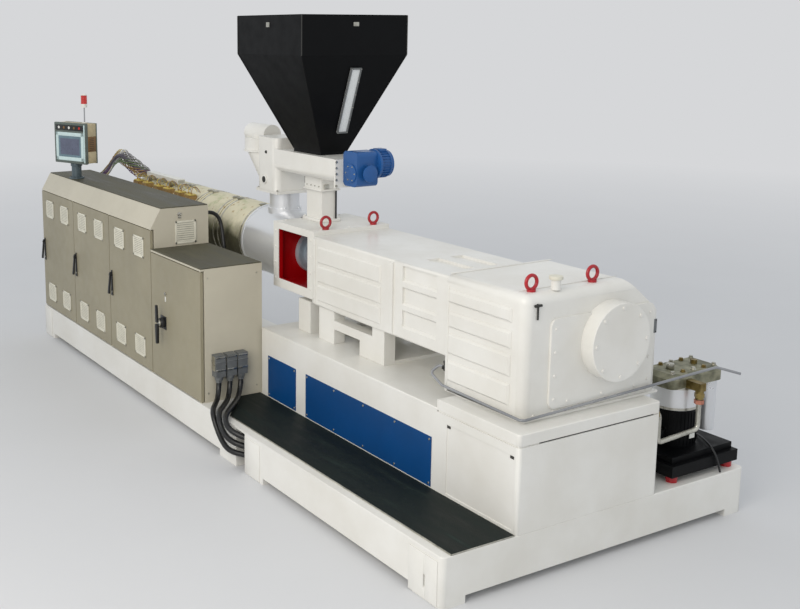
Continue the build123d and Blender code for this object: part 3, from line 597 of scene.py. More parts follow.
class EXTRUDER_OT_paint_solids(bpy.types.Operator):
    """Gives every solid its finish and softens the edges of the listed housings and boxes"""
    bl_idname = "extruder.paint_solids"
    bl_label = "Paint the Solids"

    def execute(self, context):
        make_finishes()
        special = {"coupling_box": "ivory_box", "terminal_post": "post_blue_grey",
                   "shaft_coupling": "coupling_steel", "cabinet_mats": "dusty_mat"}
        for name, obj in NODES.items():
            finish = FINISHES[special.get(name, SLOT_OF[name])]
            obj.data.materials.clear()
            obj.data.materials.append(finish)
            if name in SOFT_EDGED:
                weld = obj.modifiers.new("weld", "WELD")
                weld.merge_threshold = 1e-5
                soft = obj.modifiers.new("soft_edges", "BEVEL")
                soft.width = sizes().edge * (1.5 if name in WIDE_EDGED else 1.0)
                soft.segments = 2
                soft.limit_method = "ANGLE"
                soft.angle_limit = math.radians(40.0)
                soft.harden_normals = True
        return {"FINISHED"}


class EXTRUDER_OT_grilles(bpy.types.Operator):
    """Builds the slatted grilles of the doors and of the cabinet's end"""
    bl_idname = "extruder.grilles"
    bl_label = "Ventilation Grilles"

    def execute(self, context):
        s = sizes()
        for i in (1, 2, 3):
            low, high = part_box(f"vents_{i}")
            bm = bmesh.new()
            for x0 in (low.x, high.x - 0.175):
                for z0 in (low.z, high.z - 0.145):
                    self.door_grille(bm, x0, x0 + 0.175, low.y, high.y, z0, z0 + 0.145, s)
            piece(bm, f"door_grilles_{i}", ["grille_plastic", "painted_shade_grey"], f"door_{i}",
                  [f"vents_{i}"])
        low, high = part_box("end_vent")
        bm = bmesh.new()
        rim = s.grille_rim
        # Back plate in painted shade, seen between the slats.
        slab(bm, (low.x, low.y, low.z), (low.x + 0.002, high.y, high.z), index=1)
        for z in (low.z, high.z - rim):
            slab(bm, (low.x, low.y, z), (high.x, high.y, z + rim), 0.0015)
        for y in (low.y, high.y - rim):
            slab(bm, (low.x, y, low.z), (high.x, y + rim, high.z), 0.0015)
        pitch = (high.z - low.z - 2 * rim) / s.slats
        for k in range(s.slats):
            z = low.z + rim + (k + 0.5) * pitch
            slab(bm, (low.x + 0.0015, low.y + rim, z - pitch * 0.38),
                 (high.x - 0.001, high.y - rim, z + pitch * 0.22))
        piece(bm, "end_grille", ["grille_plastic", "painted_shade_grey"], "frame",
              ["end_vent"])
        return {"FINISHED"}

    def door_grille(self, bm, x0, x1, y0, y1, z0, z1, s):
        """One square grille on a door."""
        rim = s.grille_rim
        # Back plate in painted shade, seen between the slats.
        slab(bm, (x0, y1 - 0.002, z0), (x1, y1, z1), index=1)
        for z in (z0, z1 - rim):
            slab(bm, (x0, y0, z), (x1, y1, z + rim), 0.0015)
        for x in (x0, x1 - rim):
            slab(bm, (x, y0, z0), (x + rim, y1, z1), 0.0015)
        pitch = (z1 - z0 - 2 * rim) / s.slats
        for k in range(s.slats):
            z = z0 + rim + (k + 0.5) * pitch
            slab(bm, (x0 + rim, y0 + 0.001, z - pitch * 0.38),
                 (x1 - rim, y1 - 0.0015, z + pitch * 0.22))


class EXTRUDER_OT_handles(bpy.types.Operator):
    """Builds the swing handles of the tall doors"""
    bl_idname = "extruder.handles"
    bl_label = "Swing Handles"

    def execute(self, context):
        for i in (1, 2, 3):
            low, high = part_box(f"handle_{i}")
            x = (low.x + high.x) / 2
            door = high.y
            bm = bmesh.new()
            plate = slab(bm, (low.x, door - 0.007, low.z), (high.x, door, high.z), index=0)
            for vert in plate:
                if vert.co.z > (low.z + high.z) / 2:
                    vert.co.x = x + (vert.co.x - x) * 0.45
            soften(bm, plate, 0.002)
            lever = slab(bm, (x - 0.013, door - 0.026, low.z + 0.012),
                         (x + 0.013, door - 0.012, high.z - 0.012))
            for vert in lever:
                if vert.co.z > (low.z + high.z) / 2:
                    vert.co.x = x + (vert.co.x - x) * 0.55
                    vert.co.y += 0.005
                else:
                    vert.co.y -= 0.007
                    vert.co.x -= 0.012
            soften(bm, lever, 0.004)
            rod(bm, (x, door, high.z - 0.032), (x, door - 0.024, high.z - 0.032), 0.010,
                sides=16)
            rod(bm, (x + 0.006, door, low.z + 0.028), (x + 0.006, door - 0.012, low.z + 0.028),
                0.0085, sides=18, index=1, round_by=0.001)
            piece(bm, f"swing_handle_{i}", ["black_plastic", "zinc_steel"], f"door_{i}",
                  [f"handle_{i}"])
        return {"FINISHED"}


class EXTRUDER_OT_main_switch(bpy.types.Operator):
    """Builds the main switch with its two-armed lever and the lock beside it"""
    bl_idname = "extruder.main_switch"
    bl_label = "Main Switch"

    def execute(self, context):
        low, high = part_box("switch_lever")
        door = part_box("door_4")[0].y
        x = (low.x + high.x) / 2
        z = low.z + 0.140
        bm = bmesh.new()
        rod(bm, (x, door - 0.004, z), (x, door - 0.030, z), 0.037, 0.033, sides=40,
            round_by=0.003)
        rod(bm, (x, door - 0.030, z), (x, door - 0.044, z), 0.024, 0.021, sides=32, index=1,
            round_by=0.002)
        arms = slab(bm, (x - 0.017, low.y + 0.001, low.z + 0.001),
                    (x + 0.017, door - 0.040, z - 0.006))
        for vert in arms:
            if vert.co.z < z - 0.05:
                vert.co.x = x + 0.003 + (vert.co.x - x) * 0.62
        soften(bm, arms, 0.004)
        upper = slab(bm, (x - 0.015, low.y + 0.004, z + 0.006),
                     (x + 0.015, door - 0.042, high.z - 0.001))
        for vert in upper:
            if vert.co.z > z + 0.05:
                vert.co.x = x - 0.006 + (vert.co.x - x) * 0.7
        soften(bm, upper, 0.004)
        piece(bm, "main_switch", ["black_plastic", "zinc_steel"], "switch",
              ["switch_lever"])
        bm = bmesh.new()
        slab(bm, (x - 0.045, door - 0.003, z - 0.045), (x + 0.045, door, z + 0.045), 0.001,
             index=1)
        slab(bm, (x + 0.030, door - 0.003, z + 0.150), (x + 0.044, door, z + 0.185), 0.001,
             index=2)
        rod(bm, (x + 0.037, door, z + 0.205), (x + 0.037, door - 0.006, z + 0.205), 0.011,
            sides=20, index=0, round_by=0.001)
        slab(bm, (x + 0.0355, door - 0.0066, z + 0.197), (x + 0.0385, door - 0.0058, z + 0.213),
             index=1)
        piece(bm, "switch_backplate", ["zinc_steel", "black_plastic", "white_plastic"],
              "door_4")
        return {"FINISHED"}


class EXTRUDER_OT_cabinet_fittings(bpy.types.Operator):
    """Adds the catch and screws of the cabinets and the edge strip of the step mat"""
    bl_idname = "extruder.cabinet_fittings"
    bl_label = "Cabinet Fittings"

    def execute(self, context):
        low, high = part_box("cabinet_tall")
        end = high.x
        bm = bmesh.new()
        rod(bm, (end, low.y + 0.220, 1.352), (end + 0.004, low.y + 0.220, 1.352), 0.016,
            sides=20, index=0, round_by=0.001)
        slab(bm, (end, low.y + 0.210, 1.326), (end + 0.006, low.y + 0.230, 1.340), 0.001)
        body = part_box("cabinet_low")
        for z in (body[0].z + 0.06, body[1].z - 0.06):
            for y in (body[0].y + 0.05, body[1].y - 0.04):
                cap_head(bm, (body[1].x, y, z), (1, 0, 0), 0.006, 0.003)
        piece(bm, "cabinet_end_catch", ["zinc_steel"])
        bm = bmesh.new()
        a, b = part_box("step_mat")
        slab(bm, (a.x + 0.300, a.y - 0.003, a.z), (b.x - 0.001, a.y, b.z + 0.001), 0.001)
        slab(bm, (b.x, a.y, a.z), (b.x + 0.003, b.y, b.z + 0.001), 0.001)
        piece(bm, "mat_edge_strip", ["zinc_steel"])
        return {"FINISHED"}


class EXTRUDER_OT_terminal(bpy.types.Operator):
    """Builds the operator's terminal with its bezel, screen and push buttons"""
    bl_idname = "extruder.terminal"
    bl_label = "Operator Terminal"

    def execute(self, context):
        low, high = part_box("terminal")
        middle = (low + high) / 2
        wide, deep, tall = 0.370, 0.135, 0.330
        front = -deep / 2
        bm = bmesh.new()
        x0, x1, z0, z1 = -wide / 2, wide / 2, -tall / 2, tall / 2
        slab(bm, (x0, front + 0.004, z0), (x1, front + 0.034, z1), 0.006, index=0)
        for za, zb, index in ((z0 + 0.006, z0 + 0.100, 1), (z0 + 0.100, z1 - 0.108, 2),
                              (z1 - 0.108, z1 - 0.004, 1)):
            slab(bm, (x0 + 0.008, front + 0.034, za), (x1 - 0.004, deep / 2 - 0.012, zb),
                 0.002, index=index)
        slab(bm, (x0 + 0.004, deep / 2 - 0.012, z0 + 0.002), (x1 - 0.002, deep / 2, z1 - 0.002),
             0.003, index=0)
        for k in range(7):
            z = z0 + 0.112 + k * 0.015
            slab(bm, (x1 - 0.006, front + 0.050, z), (x1 - 0.0030, front + 0.098, z + 0.004),
                 index=8)
        bx0, bx1, bz0, bz1 = x0 + 0.022, x1 - 0.022, z0 + 0.022, z1 - 0.078
        rim = 0.030
        for xa, za, xb, zb in ((bx0, bz0, bx1, bz0 + rim), (bx0, bz1 - rim, bx1, bz1),
                               (bx0, bz0, bx0 + rim, bz1), (bx1 - rim, bz0, bx1, bz1)):
            slab(bm, (xa, front, za), (xb, front + 0.010, zb), 0.003, index=3)
        slab(bm, (bx0 + rim, front + 0.0025, bz0 + rim), (bx1 - rim, front + 0.006, bz1 - rim),
             index=4)
        slab(bm, (bx0 + rim + 0.020, front + 0.0018, bz0 + rim + 0.018),
             (bx1 - rim - 0.020, front + 0.003, bz1 - rim - 0.020), index=5)
        slab(bm, (x0 + 0.020, front + 0.001, z1 - 0.062), (x1 - 0.020, front + 0.006, z1 - 0.018),
             0.001, index=8)
        for k, index in enumerate((6, 2, 6, 2, 7)):
            x = x0 + 0.062 + k * 0.060
            rod(bm, (x, front + 0.004, z1 - 0.040), (x, front, z1 - 0.040), 0.011, sides=16,
                index=index)
        slab(bm, (x1 - 0.019, front, z0 + 0.012), (x1 - 0.007, front + 0.012, z1 - 0.012),
             0.003, index=3)
        turn = Matrix.Translation(middle) @ Matrix.Rotation(math.radians(22.0), 4, "Z")
        bmesh.ops.transform(bm, matrix=turn, verts=bm.verts[:])
        piece(bm, "operator_terminal",
              ["terminal_dark", "terminal_plastic", "terminal_brown", "terminal_bezel",
               "terminal_screen", "screen_glow", "white_plastic", "button_red",
               "black_plastic"],
              stands_for=["terminal"])
        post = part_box("terminal_post")
        bm = bmesh.new()
        centre = (post[0] + post[1]) / 2
        rod(bm, (centre.x, centre.y, post[0].z), (centre.x, centre.y, post[0].z + 0.012), 0.062,
            sides=32, round_by=0.002)
        for dx, dy in around(4, 0.05, 0.5):
            hex_head(bm, (centre.x + dx, centre.y + dy, post[0].z + 0.012), (0, 0, 1), 0.006,
                     0.006)
        rod(bm, (centre.x, centre.y, post[1].z - 0.026), (centre.x, centre.y, post[1].z - 0.001),
            0.047, sides=28, round_by=0.003)
        piece(bm, "post_flange", ["post_blue_grey"])
        return {"FINISHED"}


class EXTRUDER_OT_signal_lamp(bpy.types.Operator):
    """Builds the red signal lamp on its thin pole"""
    bl_idname = "extruder.signal_lamp"
    bl_label = "Signal Lamp"

    def execute(self, context):
        low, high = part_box("signal_lamp")
        x, y = (low.x + high.x) / 2, (low.y + high.y) / 2
        bm = bmesh.new()
        rod(bm, (x, y, low.z), (x, y, low.z + 0.010), 0.022, sides=24, index=1, round_by=0.001)
        rod(bm, (x, y, low.z), (x, y, low.z + 0.130), 0.005, sides=20, index=2)
        rod(bm, (x, y, low.z + 0.125), (x, y, low.z + 0.155), 0.024, 0.026, sides=32, index=1)
        rod(bm, (x, y, low.z + 0.155), (x, y, high.z - 0.012), 0.0255, 0.0245, sides=32, index=0)
        for k in range(5):
            z = low.z + 0.166 + k * 0.013
            hoop(bm, (x, y, z), (0, 0, 1), 0.0245, 0.0014, 32, 6, 0)
        rod(bm, (x, y, high.z - 0.012), (x, y, high.z), 0.0245, 0.018, sides=32, index=1,
            round_by=0.002)
        piece(bm, "beacon", ["lamp_lens", "white_plastic", "grey_pipe"],
              stands_for=["signal_lamp"])
        return {"FINISHED"}


class EXTRUDER_OT_barrel_fittings(bpy.types.Operator):
    """Adds straps, clamp screws and flanges to the barrel and the feed section"""
    bl_idname = "extruder.barrel_fittings"
    bl_label = "Barrel Fittings"

    def execute(self, context):
        s = sizes()
        low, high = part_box("barrel_jackets")
        y, z = (low.y + high.y) / 2, (low.z + high.z) / 2
        radius = (high.z - low.z) / 2
        bm = bmesh.new()
        run = (high.x - low.x) / 5
        for k in range(5):
            for x in (low.x + k * run + 0.030, low.x + (k + 1) * run - 0.030 - s.strap):
                band(bm, (x, y, z), (x + s.strap, y, z), radius - 0.002, radius + 0.002, 72)
                slab(bm, (x - 0.002, y - 0.060, z + radius - 0.010),
                     (x + s.strap + 0.002, y - 0.020, z + radius + 0.014), 0.002)
                rod(bm, (x + s.strap / 2, y - 0.070, z + radius + 0.006),
                    (x + s.strap / 2, y - 0.010, z + radius + 0.006), 0.0035, sides=10)
        piece(bm, "barrel_straps", ["zinc_steel"])
        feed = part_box("feed_section")
        radius = (feed[1].y - feed[0].y) / 2
        bm = bmesh.new()
        for x0, x1 in ((feed[0].x, feed[0].x + 0.022), (feed[1].x - 0.020, feed[1].x)):
            band(bm, (x0, y, z), (x1, y, z), radius - 0.004, radius + 0.003, 96)
        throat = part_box("feed_throat")
        tx, ty = (throat[0].x + throat[1].x) / 2, (throat[0].y + throat[1].y) / 2
        tr = (throat[1].x - throat[0].x) / 2
        for z0 in (throat[0].z, throat[1].z - 0.014):
            band(bm, (tx, ty, z0), (tx, ty, z0 + 0.014), tr - 0.003, tr + 0.004, 64)
        for dx, dy in around(6, 0.110, 0.5):
            cap_head(bm, (tx + dx, ty + dy, throat[0].z), (0, 0, 1), 0.005, 0.006)
        piece(bm, "feed_rings", ["polished_steel"])
        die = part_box("die_flange")
        bm = bmesh.new()
        for dy, dz in around(12, 0.145, 0.5):
            hex_head(bm, (die[0].x + 0.060, y + dy, z + dz), (1, 0, 0), 0.010, 0.012)
        piece(bm, "die_flange_bolts", ["dark_steel"])
        return {"FINISHED"}


class EXTRUDER_OT_heater_wiring(bpy.types.Operator):
    """Builds the slotted wire duct, the heaters' terminals and their loose wires"""
    bl_idname = "extruder.heater_wiring"
    bl_label = "Heater Wiring"

    def execute(self, context):
        low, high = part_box("wire_duct")
        top = high.z
        floor = top - 0.040
        bm = bmesh.new()
        slab(bm, (low.x, low.y, floor), (high.x, high.y, floor + 0.006), 0.001)
        slab(bm, (low.x, low.y - 0.001, top - 0.012), (high.x, high.y + 0.001, top), 0.002)
        # Inner block in painted shade, seen through the duct's slots.
        slab(bm, (low.x, low.y + 0.004, floor + 0.004), (high.x, high.y - 0.004, top - 0.010),
             index=1)
        count = 44
        for k in range(count):
            x = low.x + (k + 0.5) * (high.x - low.x) / count
            for y in (low.y, high.y - 0.003):
                slab(bm, (x - 0.0055, y, floor + 0.002), (x + 0.0055, y + 0.003, top - 0.010))
        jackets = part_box("barrel_jackets")
        run = (jackets[1].x - jackets[0].x) / 5
        for k in range(2):
            x = jackets[0].x + (k + 0.5) * run
            for y in (low.y + 0.006, low.y + 0.046):
                slab(bm, (x - 0.022, y, floor - 0.043), (x + 0.022, y + 0.005, floor), index=2)
        piece(bm, "slotted_duct", ["white_plastic", "painted_shade_grey", "zinc_steel"],
              stands_for=["wire_duct"])
        low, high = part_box("heater_terminals")
        bm = bmesh.new()
        runs = []
        for i in range(3):
            for side in (-0.090, 0.090):
                x = jackets[0].x + (i + 0.5) * run + side
                slab(bm, (x - 0.044, low.y + 0.004, high.z),
                     (x + 0.044, high.y - 0.004, high.z + 0.010), 0.003, index=1)
                for k in range(3):
                    px = x - 0.028 + k * 0.028
                    rod(bm, (px, low.y + 0.030, high.z), (px, low.y + 0.030, high.z + 0.022),
                        0.0065, sides=10, index=k % 2)
                    runs.append([(px, low.y + 0.030, high.z + 0.020),
                                 (px, low.y + 0.030, high.z + 0.045),
                                 (px + 0.012, low.y + 0.052, high.z + 0.062 + 0.006 * k),
                                 (px + 0.020, low.y + 0.082, high.z + 0.050),
                                 (px + 0.020, low.y + 0.096, high.z + 0.020)])
        piece(bm, "terminal_caps", ["brown_terminals", "wire_yellow"])
        line("heater_leads", runs, 0.006, ["wire_yellow", "wire_grey", "brown_terminals"])
        return {"FINISHED"}


class EXTRUDER_OT_hopper_fittings(bpy.types.Operator):
    """Adds the hopper's seams, rim, lid clips and the frame of its sight glass"""
    bl_idname = "extruder.hopper_fittings"
    bl_label = "Hopper Fittings"

    def execute(self, context):
        s = sizes()
        low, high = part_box("hopper")
        rim = 2.450
        x, y = (low.x + high.x) / 2, (low.y + high.y) / 2
        bm = bmesh.new()
        for cx in (low.x, high.x):
            for cy in (low.y, high.y):
                rod(bm, (cx, cy, rim), (cx, cy, high.z - 0.002), s.seam * 0.55, sides=8)
                inner_x = x + math.copysign(0.165, cx - x)
                inner_y = y + math.copysign(0.100, cy - y)
                rod(bm, (cx, cy, rim), (inner_x, inner_y, 1.835), s.seam * 0.5, sides=8,
                    index=1)
        piece(bm, "hopper_seams", ["dark_steel", "black_paint"])
        bm = bmesh.new()
        edge = 0.026
        for y0, y1 in ((low.y, low.y + edge), (high.y - edge, high.y)):
            slab(bm, (low.x, y0, high.z - 0.005), (high.x, y1, high.z - 0.0005), 0.001)
        for x0, x1 in ((low.x, low.x + edge), (high.x - edge, high.x)):
            slab(bm, (x0, low.y, high.z - 0.005), (x1, high.y, high.z - 0.0005), 0.001)
        for at in (low.y - 0.004, high.y):
            slab(bm, (x - 0.020, at, high.z - 0.075), (x + 0.020, at + 0.004, high.z - 0.045),
                 0.001, index=1)
        slab(bm, (high.x, y - 0.020, high.z - 0.070),
             (high.x + 0.004, y + 0.020, high.z - 0.045), 0.001, index=1)
        piece(bm, "hopper_rim", ["black_paint", "zinc_steel"])
        run = (high.x - low.x - 0.330) / 2
        tilt = math.atan2(run, 0.615)
        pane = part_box("sight_glass")
        centre = (pane[0] + pane[1]) / 2
        turn = Matrix.Translation(centre) @ Matrix.Rotation(tilt, 4, "Y")
        bm = bmesh.new()
        half_w, half_l = 0.038, 0.220
        frame_w = 0.010
        for u in (-half_w - 0.002, half_w - frame_w + 0.002):
            slab(bm, (-0.001, u, -half_l), (0.010, u + frame_w, half_l), 0.001)
        for v in (-half_l - 0.002, half_l - frame_w + 0.002):
            slab(bm, (-0.001, -half_w, v), (0.010, half_w, v + frame_w), 0.001)
        for v in spread(-half_l + 0.004, half_l - 0.004, 6):
            for u in (-half_w + 0.003, half_w - 0.003):
                cap_head(bm, (0.010, u, v), (1, 0, 0), 0.0035, 0.003, index=1)
        bmesh.ops.transform(bm, matrix=turn, verts=bm.verts[:])
        piece(bm, "sight_glass_frame", ["socket_grey", "zinc_steel"])
        return {"FINISHED"}


class EXTRUDER_OT_feeder_fittings(bpy.types.Operator):
    """Adds flange bolts, bosses and brackets to the dosing feeder"""
    bl_idname = "extruder.feeder_fittings"
    bl_label = "Feeder Fittings"

    def execute(self, context):
        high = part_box("feeder_housing")[1]
        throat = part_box("feed_throat")
        tx, ty = (throat[0].x + throat[1].x) / 2, (throat[0].y + throat[1].y) / 2
        flange_top = throat[1].z + 0.020
        bm = bmesh.new()
        for sx in (-0.128, -0.043, 0.043, 0.128):
            for sy in (-0.135, 0.135):
                hex_head(bm, (tx + sx, ty + sy, flange_top), (0, 0, 1), 0.007, 0.008)
        end = high.x
        for k in range(5):
            z = 1.640 + 0.012 + k * 0.037
            for y in (ty - 0.146, ty + 0.146):
                hex_head(bm, (end, y, z), (1, 0, 0), 0.006, 0.007)
        piece(bm, "feeder_bolts", ["zinc_steel"])
        bm = bmesh.new()
        front = ty - 0.150
        rod(bm, (tx - 0.010, front, 1.596), (tx - 0.010, front - 0.010, 1.596), 0.030, sides=32,
            index=0, round_by=0.002)
        rod(bm, (tx - 0.010, front - 0.010, 1.596), (tx - 0.010, front - 0.012, 1.596), 0.022,
            sides=28, index=1)
        cap_head(bm, (tx + 0.005, front, 1.785), (0, -1, 0), 0.012, 0.006, index=1)
        piece(bm, "drop_box_boss", ["ivory_paint", "dark_steel"])
        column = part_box("feeder_column")
        x0, x1 = column[0].x + 0.010, column[1].x - 0.010
        y0, y1 = column[0].y + 0.010, column[1].y - 0.010
        neck = 1.575
        bm = bmesh.new()
        slab(bm, (x0 - 0.034, ty - 0.030, 1.420), (x0, ty + 0.030, 1.560), 0.003)
        slab(bm, (x0 - 0.060, ty - 0.040, 1.600), (x0 - 0.010, ty + 0.040, 1.650), 0.003)
        rod(bm, (x1 + 0.008, y1 - 0.010, column[0].z), (x1 + 0.008, y1 - 0.010, neck), 0.006,
            sides=14)
        piece(bm, "feeder_brackets", ["black_plastic"])
        bm = bmesh.new()
        foot = 0.018
        slab(bm, (x0 - 0.022, y0 - 0.020, column[0].z),
             (x1 + 0.022, y1 + 0.020, column[0].z + foot), 0.003)
        slab(bm, (x0 - 0.018, y0 - 0.018, neck), (x1 + 0.018, y1 + 0.018, neck + 0.012), 0.002)
        for sx in (x0 - 0.010, x1 + 0.010):
            for sy in (y0 - 0.010, y1 + 0.010):
                hex_head(bm, (sx, sy, column[0].z + foot), (0, 0, 1), 0.006, 0.008)
        for k in range(4):
            cap_head(bm, (x0 + 0.020 + k * 0.048, column[0].y, neck + 0.030), (0, -1, 0), 0.005,
                     0.004, index=1)
        slab(bm, (column[1].x, ty - 0.050, neck + 0.014),
             (column[1].x + 0.006, ty - 0.010, neck + 0.044), 0.001, index=1)
        piece(bm, "column_plates", ["ivory_paint", "zinc_steel"])
        return {"FINISHED"}


class EXTRUDER_OT_feeder_motor(bpy.types.Operator):
    """Adds fins, a fan cowl and covers to the feeder's geared motor"""
    bl_idname = "extruder.feeder_motor"
    bl_label = "Feeder Motor"

    def execute(self, context):
        s = sizes()
        low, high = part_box("feeder_drive")
        worm_y0, worm_y1 = low.y, low.y + 0.155
        mx, mz, r = low.x + 0.095, 1.787, 0.082
        cap = high.y - 0.028
        bm = bmesh.new()
        for k in range(s.fins):
            a = math.tau * k / s.fins
            turn = Matrix.Translation((mx, 0, mz)) @ Matrix.Rotation(a, 4, "Y")
            fin = slab(bm, (-0.0016, worm_y1 + 0.020, r - 0.004),
                       (0.0016, cap - 0.024, r + 0.006))
            bmesh.ops.transform(bm, matrix=turn, verts=fin)
        slab(bm, (mx - 0.036, worm_y1 + 0.025, mz + r - 0.010),
             (mx + 0.036, worm_y1 + 0.080, mz + r + 0.012), 0.004)
        rod(bm, (mx, cap - 0.026, mz), (mx, cap + 0.002, mz), r + 0.007, r - 0.006, sides=44,
            round_by=0.004)
        rod(bm, (mx, cap, mz), (mx, high.y + 0.001, mz), 0.037, 0.033, sides=36, index=1,
            round_by=0.003)
        for k in range(3):
            hoop(bm, (mx, cap + 0.002, mz), (0, 1, 0), 0.044 + k * 0.011, 0.0018, 32, 6, 0)
        rod(bm, (mx - 0.010, worm_y0 - 0.006, mz - 0.050), (mx - 0.010, worm_y0, mz - 0.050),
            0.058, sides=40, index=0, round_by=0.002)
        for dx, dz in around(6, 0.047):
            cap_head(bm, (mx - 0.010 + dx, worm_y0 - 0.006, mz - 0.050 + dz), (0, -1, 0),
                     0.005, 0.004, index=2)
        worm_y, worm_z = (worm_y0 + worm_y1) / 2, mz - 0.048
        rod(bm, (low.x, worm_y, worm_z), (low.x + 0.030, worm_y, worm_z), 0.070, 0.064,
            sides=40)
        rod(bm, (high.x, worm_y, worm_z), (high.x + 0.008, worm_y, worm_z), 0.052, sides=36,
            round_by=0.002)
        rod(bm, (mx, worm_y1 - 0.002, mz), (mx, worm_y1 + 0.016, mz), r + 0.012, sides=44,
            round_by=0.003)
        piece(bm, "motor_details", ["motor_blue_paint", "black_plastic", "zinc_steel"])
        return {"FINISHED"}


class EXTRUDER_OT_gearbox_fittings(bpy.types.Operator):
    """Adds the filler, bolts, blank plate and joint strips to the gearbox"""
    bl_idname = "extruder.gearbox_fittings"
    bl_label = "Gearbox Fittings"

    def execute(self, context):
        low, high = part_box("gearbox")
        low = low + Vector((0.0, 0.006, 0.0))  # the ribs stand out past the fittings
        end = high.x
        bm = bmesh.new()
        fx, fy = 2.570, -0.230
        rod(bm, (fx, fy, high.z), (fx, fy, high.z + 0.052), 0.024, sides=28, index=0)
        rod(bm, (fx, fy, high.z + 0.050), (fx, fy, high.z + 0.068), 0.034, sides=28, index=1,
            round_by=0.003)
        piece(bm, "oil_filler", ["ivory_paint", "grille_plastic"])
        bm = bmesh.new()
        tee_x, tee_y, tee_z = end + 0.006, low.y + 0.080, high.z - 0.052
        rod(bm, (end - 0.020, tee_y, tee_z), (end + 0.008, tee_y, tee_z), 0.009, sides=16,
            index=1)
        rod(bm, (tee_x, tee_y - 0.020, tee_z), (tee_x, tee_y + 0.022, tee_z), 0.0065,
            sides=14, index=1)
        rod(bm, (tee_x, tee_y, tee_z - 0.068), (tee_x, tee_y, tee_z + 0.002), 0.0045,
            sides=14, index=1)
        slab(bm, (end, 0.382, 1.071), (end + 0.004, 0.447, 1.144), 0.001, index=0)
        for sy in (0.388, 0.441):
            for sz in (1.077, 1.138):
                cap_head(bm, (end + 0.004, sy, sz), (1, 0, 0), 0.0035, 0.002, index=1)
        piece(bm, "gearbox_plate", ["socket_grey", "dark_steel"])
        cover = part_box("end_cover")
        face = cover[1].x
        bm = bmesh.new()
        for y in (cover[0].y + 0.030, cover[1].y - 0.030):
            for z in spread(cover[0].z + 0.050, cover[1].z - 0.050, 4):
                cap_head(bm, (face, y, z), (1, 0, 0), 0.008, 0.005)
        for y in spread(cover[0].y + 0.120, cover[1].y - 0.120, 3):
            cap_head(bm, (face, y, cover[0].z + 0.026), (1, 0, 0), 0.008, 0.005)
        for y in spread(low.y + 0.080, high.y - 0.080, 7):
            cap_head(bm, (end, y, low.z + 0.024), (1, 0, 0), 0.007, 0.004)
        piece(bm, "gearbox_bolts", ["ivory_paint"])
        bm = bmesh.new()
        slab(bm, (low.x + 0.002, low.y + 0.030, high.z),
             (low.x + 0.020, high.y - 0.220, high.z + 0.004), 0.0015)
        slab(bm, (end - 0.100, low.y + 0.050, high.z),
             (end - 0.096, high.y - 0.230, high.z + 0.003), 0.001)
        slab(bm, (low.x + 0.010, low.y + 0.004, low.z),
             (low.x + 0.022, low.y + 0.012, high.z - 0.060), 0.002)
        slab(bm, (low.x, low.y + 0.008, low.z), (end + 0.014, high.y - 0.004, low.z + 0.014),
             0.004)
        piece(bm, "gearbox_strips", ["ivory_paint"])
        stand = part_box("gearbox_stand")
        bm = bmesh.new()
        groove = 0.685
        slab(bm, (stand[1].x - 0.0058, stand[0].y + 0.130, groove + 0.0015),
             (stand[1].x - 0.0035, stand[1].y - 0.050, groove + 0.0065))
        for x in (stand[0].x + 0.095, stand[1].x - 0.048):
            slab(bm, (x - 0.012, stand[0].y + 0.001, groove - 0.063),
                 (x + 0.012, stand[0].y + 0.0045, groove - 0.050))
        piece(bm, "stand_shadow_gap", ["shadow_gap"])
        bm = bmesh.new()
        ux, uy, uz = low.x, low.y + 0.022, 0.862
        rod(bm, (ux - 0.008, uy, uz), (ux, uy, uz), 0.019, sides=6)
        rod(bm, (ux - 0.030, uy, uz), (ux - 0.020, uy, uz), 0.013, sides=6)
        rod(bm, (ux - 0.014, uy, uz), (ux - 0.014, uy, uz + 0.034), 0.009, sides=16)
        rod(bm, (ux - 0.014, uy, uz + 0.026), (ux - 0.014, uy, uz + 0.038), 0.012, sides=6)
        piece(bm, "line_union", ["dark_steel"])
        return {"FINISHED"}


class EXTRUDER_OT_coupling_fittings(bpy.types.Operator):
    """Adds the ring and screws of the shaft coupling and the bolts of the housings"""
    bl_idname = "extruder.coupling_fittings"
    bl_label = "Coupling Fittings"

    def execute(self, context):
        low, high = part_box("shaft_coupling")
        y, z = (low.y + high.y) / 2, (low.z + high.z) / 2
        face = low.x + 0.040
        bm = bmesh.new()
        band(bm, (face - 0.002, y, z), (face + 0.004, y, z), 0.126, 0.141, 56)
        hub = low.x + 0.090
        rod(bm, (hub - 0.001, y, z), (hub + 0.002, y, z), 0.094, sides=56, index=1)
        for x, way in ((hub + 0.002, 1), (high.x - 0.060, -1)):
            for dy, dz in around(6, 0.074, 0.5):
                cap_head(bm, (x, y + dy, z + dz), (way, 0, 0), 0.009, 0.008, index=1)
        piece(bm, "coupling_ring", ["coupling_steel", "dark_steel"])
        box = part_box("coupling_box")
        bm = bmesh.new()
        for x in (box[0].x + 0.030, box[1].x - 0.034):
            for z in spread(box[0].z + 0.060, box[1].z - 0.060, 4):
                cap_head(bm, (x, box[0].y, z), (0, -1, 0), 0.008, 0.005)
            for y in spread(box[0].y + 0.080, box[0].y + 0.500, 3):
                cap_head(bm, (x, y, box[1].z), (0, 0, 1), 0.008, 0.005)
        low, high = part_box("housing_plain")
        slab(bm, (low.x + 0.002, low.y + 0.005, low.z + 0.014),
             (low.x + 0.030, low.y + 0.0105, high.z - 0.014), 0.001)
        for z in spread(low.z + 0.050, high.z - 0.050, 5):
            cap_head(bm, (low.x + 0.016, low.y + 0.005, z), (0, -1, 0), 0.006, 0.004)
        piece(bm, "housing_bolts", ["ivory_paint"])
        return {"FINISHED"}


